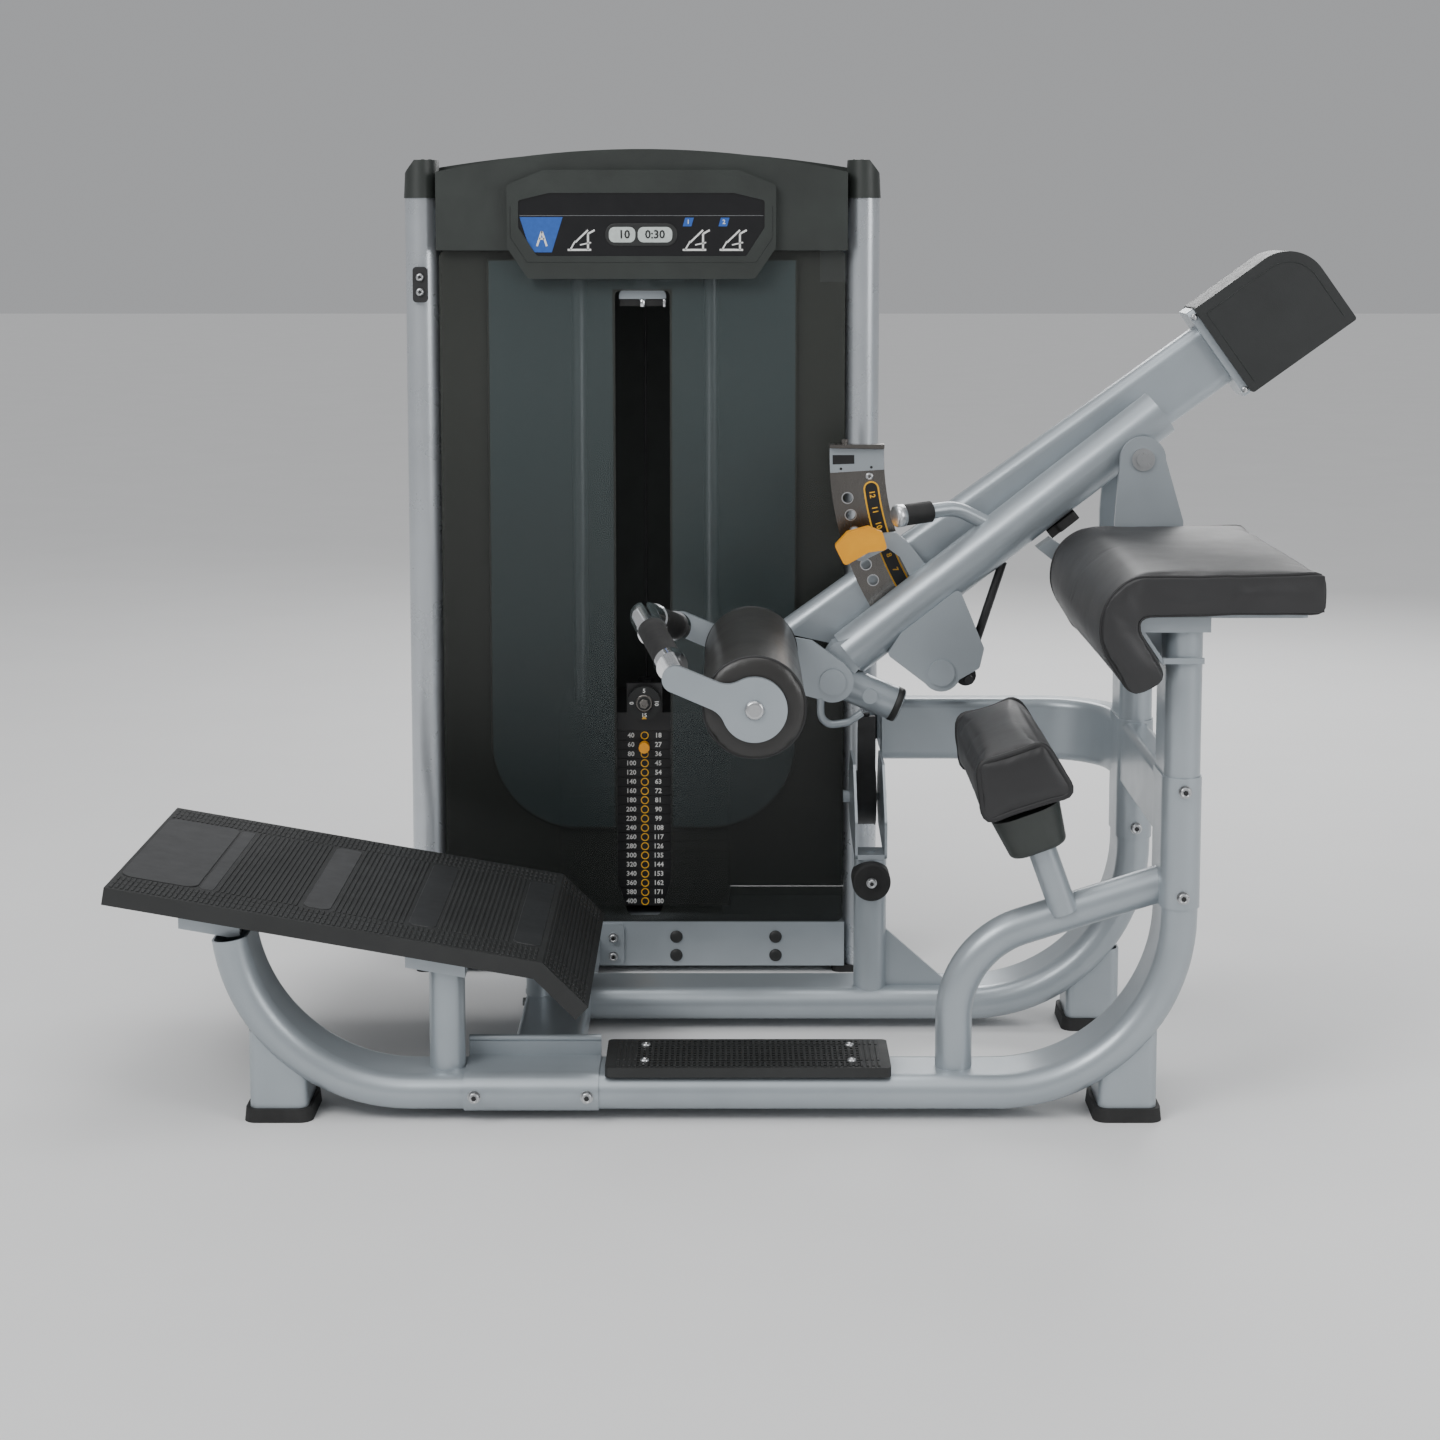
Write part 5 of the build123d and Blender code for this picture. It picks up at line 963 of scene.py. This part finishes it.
# ---- sector strip
SECTOR_FACE = 0.1215
PIVOT = Vector((0.590, 0.080, 0.888))
HOLES = 6
FIRST_HOLE = 8.8
HOLE_PITCH = 3.46


def sector_point(radius, degrees):
    """A point on the sector, degrees below the level line to the left."""
    return PIVOT.x - radius * cos(radians(degrees)), PIVOT.z - radius * sin(radians(degrees))


def sector_band(inner, outer, first, last, steps=26, rounded_top=False):
    """Outline of a band on the sector, between two radii and two angles."""
    outline = []
    if rounded_top:
        half = (outer - inner) / 2
        middle = (outer + inner) / 2
        for step in range(1, 10):
            angle = radians(20 * step - 10)
            lift = half * sin(angle) / middle * 180 / pi
            outline.append(sector_point(middle - half * cos(angle), first - lift))
    for step in range(steps + 1):
        outline.append(sector_point(outer, first + (last - first) * step / steps))
    for step in range(steps + 1):
        outline.append(sector_point(inner, last + (first - last) * step / steps))
    return outline


def make_sector_strip():
    """The black number strip with its yellow edge."""
    edge = bmesh.new()
    outline = sector_band(0.4135, 0.4385, 7.6, 30.5, rounded_top=True)
    add_plate(edge, outline, SECTOR_FACE - 0.0006, SECTOR_FACE)
    from_bmesh("sector_strip_edge", edge, YELLOW_PRINT, "lever_arm", smooth=False)
    strip = bmesh.new()
    outline = sector_band(0.4160, 0.4360, 7.6, 30.2, rounded_top=True)
    add_plate(strip, outline, SECTOR_FACE - 0.0010, SECTOR_FACE)
    from_bmesh("sector_strip", strip, BLACK_PRINT_AND_SHADE, "lever_arm", smooth=False)
    numbers = []
    for index in range(HOLES):
        degrees = FIRST_HOLE + HOLE_PITCH * index
        x, z = sector_point(0.426, degrees)
        numbers.append((str(12 - index), (x, SECTOR_FACE - 0.0012, z), 0.0125, radians(90 - degrees)))
    lettering("sector_numbers", numbers, YELLOW_PRINT, "lever_arm")


def make_sector_trim():
    """The silver bracket over the sector's top, the hole rims and the small screws."""
    near = SECTOR_FACE
    bracket = bmesh.new()
    add_plate(bracket, sector_band(0.4025, 0.4895, -1.1, 3.6, 10), near - 0.0016, near)
    from_bmesh("sector_bracket", bracket, PAINT, "lever_arm", 0.0005, smooth=False)
    window = bmesh.new()
    add_plate(window, sector_band(0.4500, 0.4850, 0.2, 2.0, 4), near - 0.0020, near)
    for radius in (0.4230, 0.4720):
        x, z = sector_point(radius, 2.9)
        add_lathe(window, [(0, 0.0022), (0.0020, 0.0022), (0.0020, 0)], (x, near, z), FRONT, 16)
    from_bmesh("sector_bracket_window", outward(window), BLACK_PRINT_AND_SHADE, "lever_arm", smooth=False)
    rims = bmesh.new()
    for index in range(HOLES):
        hole = sector_point(0.466, FIRST_HOLE + HOLE_PITCH * index)
        add_ring(rims, hole, 0.0080, 0.0096, near - 0.0005, near + 0.0006)
    from_bmesh("sector_rims", outward(rims), STEEL, "lever_arm", smooth=False)
    places = []
    for radius, degrees in ((0.4270, 4.9), (0.4800, 33.5)):
        x, z = sector_point(radius, degrees)
        places.append((x, near, z))
    make_screws("sector_screws", places, FRONT, "lever_arm")


make_sector_strip()
make_sector_trim()


# ---- caps and fixings
def add_dome(build, point, axis, radius, height):
    """A domed plug standing out along axis."""
    profile = [(-0.001, radius)]
    for step in range(7):
        angle = radians(90 * step / 6)
        profile.append((height * (0.3 + 0.7 * sin(angle)), radius * cos(angle) if step < 6 else 0))
    add_lathe(build, profile, point, axis, 28)


def make_base_plugs():
    """Four dark plugs in the tower's front beam."""
    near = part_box("tower_base")[0].y
    build = bmesh.new()
    for x in (-0.150, 0.017):
        for z in (0.030, 0.062):
            add_dome(build, (x, near, z), FRONT, 0.0105, 0.005)
    from_bmesh("base_plugs", outward(build), BLACK)


def make_post_trim():
    """Two small plugs on the flat inner half of each tower post cap."""
    build = bmesh.new()
    for x, side in ((-0.567, -1), (0.1595, 1)):
        for inward in (0.002, 0.014):
            add_dome(build, (x - side * inward, 0.262, 1.3600), (0, 0, 1), 0.0036, 0.0016)
    from_bmesh("cap_plugs", outward(build), BLACK)


def islands(node):
    """The box of each separate solid in a CAD node."""
    build = welded(node)
    left = set(build.verts)
    boxes = []
    while left:
        stack = [left.pop()]
        low, high = stack[0].co.copy(), stack[0].co.copy()
        while stack:
            vertex = stack.pop()
            for axis in range(3):
                low[axis] = min(low[axis], vertex.co[axis])
                high[axis] = max(high[axis], vertex.co[axis])
            for edge in vertex.link_edges:
                other = edge.other_vert(vertex)
                if other in left:
                    left.remove(other)
                    stack.append(other)
        boxes.append((low, high))
    build.free()
    return boxes


def make_bolt_sockets():
    """A chamfered rim on the front of each frame bolt, and a black hexagon inside it: painted shade for the
    shadow in the hex socket.
    """
    sockets = bmesh.new()
    rims = bmesh.new()
    for low, high in islands("frame_bolts"):
        size = high - low
        if size.y > min(size.x, size.z) * 0.9:
            continue
        middle = (low + high) / 2
        radius = min(size.x, size.z) / 2
        face = Vector((middle.x, low.y, middle.z))
        # Painted shade: a black hexagon stands for the shadow inside the socket.
        add_lathe(sockets, [(-0.001, radius * 0.42), (0.0004, radius * 0.42), (0.0004, 0)], face, FRONT, 6)
        add_lathe(rims, [(-0.001, radius * 0.86), (0.0007, radius * 0.80), (0.0011, radius * 0.66),
                         (0.0006, radius * 0.46), (-0.001, radius * 0.46)], face, FRONT, 32)
    from_bmesh("bolt_socket_shade", outward(sockets), BLACK_PRINT_AND_SHADE, "frame", smooth=False)
    from_bmesh("bolt_rims", outward(rims), STEEL, "frame")


def make_dial_knob():
    """The ribbed ring and hex nut in the middle of the add-on weight dial."""
    low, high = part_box("addon_dial")
    middle = (low + high) / 2
    build = bmesh.new()
    dial = (middle.x, DIAL_FACE, middle.z)
    hub = (middle.x, HUB_FACE, middle.z)
    add_lathe(build, [(-0.001, 0.0146), (0.0022, 0.0143), (0.0030, 0.0132), (0.0030, 0.0109), (-0.001, 0.0109)],
              dial, FRONT, 40)
    add_lathe(build, [(-0.001, 0.0086), (0.0030, 0.0086), (0.0036, 0.0076), (0.0036, 0.0042), (0.0014, 0.0040),
                      (0.0014, 0)], hub, FRONT, 6)
    from_bmesh("dial_knob", outward(build), DARK_STEEL, "dial", smooth=False)


def make_bracket_screws():
    """Two socket screws in the accessory bracket on the left post."""
    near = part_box("accessory_bracket")[0].y
    make_screws("accessory_screws", [(-0.567, near + 0.0002, z) for z in (1.145, 1.169)], FRONT)


def beam_place(along, rise):
    """A point by its distance along the lever beam and its height above the beam's lower edge."""
    slope = radians(35.9)
    return PIVOT.x + along * cos(slope) - rise * sin(slope), PIVOT.z + along * sin(slope) + rise * cos(slope)


def make_weight_trim():
    """The raised line on the counterweight's faces, and the bolts in the beam's end plate."""
    low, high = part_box("counterweight")
    start, end, bottom, top, corner = 0.222, 0.397, -0.014, 0.119, 0.052
    path = [(start, bottom), (start, top)]
    for step in range(9):
        angle = radians(90 - 90 * step / 8)
        path.append((end - corner + corner * cos(angle), top - corner + corner * sin(angle)))
    path.append((end, bottom))
    for side, depth in (("near", low.y), ("far", high.y)):
        points = []
        for along, rise in path:
            x, z = beam_place(along, rise)
            points.append((x, depth, z))
        tube_curve("counterweight_line_" + side, points, 0.0008, OLIVE_DARK, "lever_arm")
    plate_near = 0.1555 - 0.043
    bolts = bmesh.new()
    for rise in (-0.018, 0.125):
        x, z = beam_place(0.203, rise)
        add_dome(bolts, (x, plate_near, z), FRONT, 0.0055, 0.004)
    from_bmesh("counterweight_bolts", outward(bolts), STEEL, "lever_arm")


def capped_end(name, point, way, radius, length, material, body):
    """A softly rounded cap over the end of a round bar; way points outwards."""
    profile = [(-length, 0), (-length, radius), (-0.003, radius), (-0.001, radius - 0.0008),
               (0.0010, radius - 0.0032), (0.0016, radius * 0.6), (0.0018, 0)]
    build = bmesh.new()
    add_lathe(build, profile, point, way)
    from_bmesh(name, outward(build), material, body)


def make_arm_caps():
    """The belt stub's end cap and the chrome end of the assist grip."""
    start, end = Vector((0.103, 0.066, 0.534)), Vector((0.212, 0.066, 0.4874))
    capped_end("stub_cap", end, end - start, 0.0283, 0.012, BLACK, "user_arm")
    grip_end, grip_bend = Vector((0.206, 0.030, 0.798)), Vector((0.300, 0.074, 0.806))
    way = (grip_end - grip_bend).normalized()
    capped_end("grip_cap", grip_end + way * 0.006, way, 0.0180, 0.014, ALUMINIUM, "user_arm")


make_base_plugs()
make_post_trim()
make_bolt_sockets()
make_dial_knob()
make_bracket_screws()
make_weight_trim()
make_arm_caps()


# ---- belt
def cut_level(build, level):
    """Cuts a mesh in two slices at a height."""
    bmesh.ops.bisect_plane(build, geom=build.verts[:] + build.edges[:] + build.faces[:],
                           plane_co=(0, 0, level), plane_no=(0, 0, 1))


def slice_up(build, level, top, pitch):
    """Cuts a mesh into level slices, so that it can bend between them."""
    while level < top:
        cut_level(build, level)
        level += pitch


def make_belt():
    """The belt from the front pulley up to the arm, cut into level slices."""
    build = welded("drive_belt")
    slice_up(build, 0.370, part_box("drive_belt")[1].z - 0.02, 0.005)
    piece = loose_piece("belt", build, BELT)
    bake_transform(piece)
    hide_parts("drive_belt")


def make_cable():
    """The cable: a fixed part on the frame, and its run down to the stack cut into level slices."""
    rest = welded("stack_cable")
    top = 1.170
    run = rest.copy()
    for build, keep_run in ((run, True), (rest, False)):
        cut_level(build, top)
        away = []
        for face in build.faces:
            middle = face.calc_center_median()
            in_run = middle.x < TOWER_X + 0.01 and middle.z < top
            if in_run != keep_run:
                away.append(face)
        bmesh.ops.delete(build, geom=away, context="FACES")
    from_bmesh("cable", rest, BELT, "frame")
    slice_up(run, 0.50, top, 0.04)
    piece = loose_piece("cable_run", run, BELT)
    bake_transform(piece)
    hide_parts("stack_cable")


make_belt()
make_cable()


# ---- floor, light
def make_stage():
    """The pale floor and an even grey-white sky."""
    bpy.ops.mesh.primitive_plane_add(size=60)
    floor = bpy.context.object
    floor.name = "floor"
    made, tree, bsdf = shader("pale_floor", (0.76, 0.76, 0.76), 0.7)
    mottle = ramp(tree, noise(tree, 3.0), (0.75, 0.75, 0.75), (0.77, 0.77, 0.77))
    tree.links.new(mottle, bsdf.inputs["Base Color"])
    bump(tree, bsdf, [(noise(tree, 300.0), 0.03)])
    floor.data.materials.append(made)
    world = bpy.data.worlds.new("studio")
    world.use_nodes = True
    background = world.node_tree.nodes["Background"]
    background.inputs["Color"].default_value = (0.84, 0.85, 0.87, 1)
    background.inputs["Strength"].default_value = 0.46
    SCENE.world = world


def make_light(name, location, target, size, power):
    """A soft rectangular light, aimed at a point."""
    data = bpy.data.lights.new(name, "AREA")
    data.shape = "RECTANGLE"
    data.size, data.size_y = size
    data.energy = power
    light = bpy.data.objects.new(name, data)
    light.location = location
    light.rotation_euler = (Vector(target) - Vector(location)).to_track_quat("-Z", "Y").to_euler()
    SCENE.collection.objects.link(light)


def make_sky_light():
    """A wide soft light from high up, so that the floor is evenly lit far out."""
    data = bpy.data.lights.new("sky", "SUN")
    data.energy = 0.9
    data.angle = radians(60)
    light = bpy.data.objects.new("sky", data)
    light.rotation_euler = (radians(22), radians(-14), 0)
    SCENE.collection.objects.link(light)


make_stage()
make_sky_light()
make_light("key", (-2.6, -3.0, 3.4), (0, 0, 0.6), (2.2, 1.6), 100)
make_light("fill", (3.2, -2.6, 2.0), (0, 0, 0.6), (1.8, 2.2), 55)
make_light("top", (0.2, 0.4, 3.6), (0, 0, 0.5), (2.4, 1.6), 30)
make_light("rear", (1.2, 3.6, 2.6), (0, 0, 0.6), (2.4, 1.6), 90)
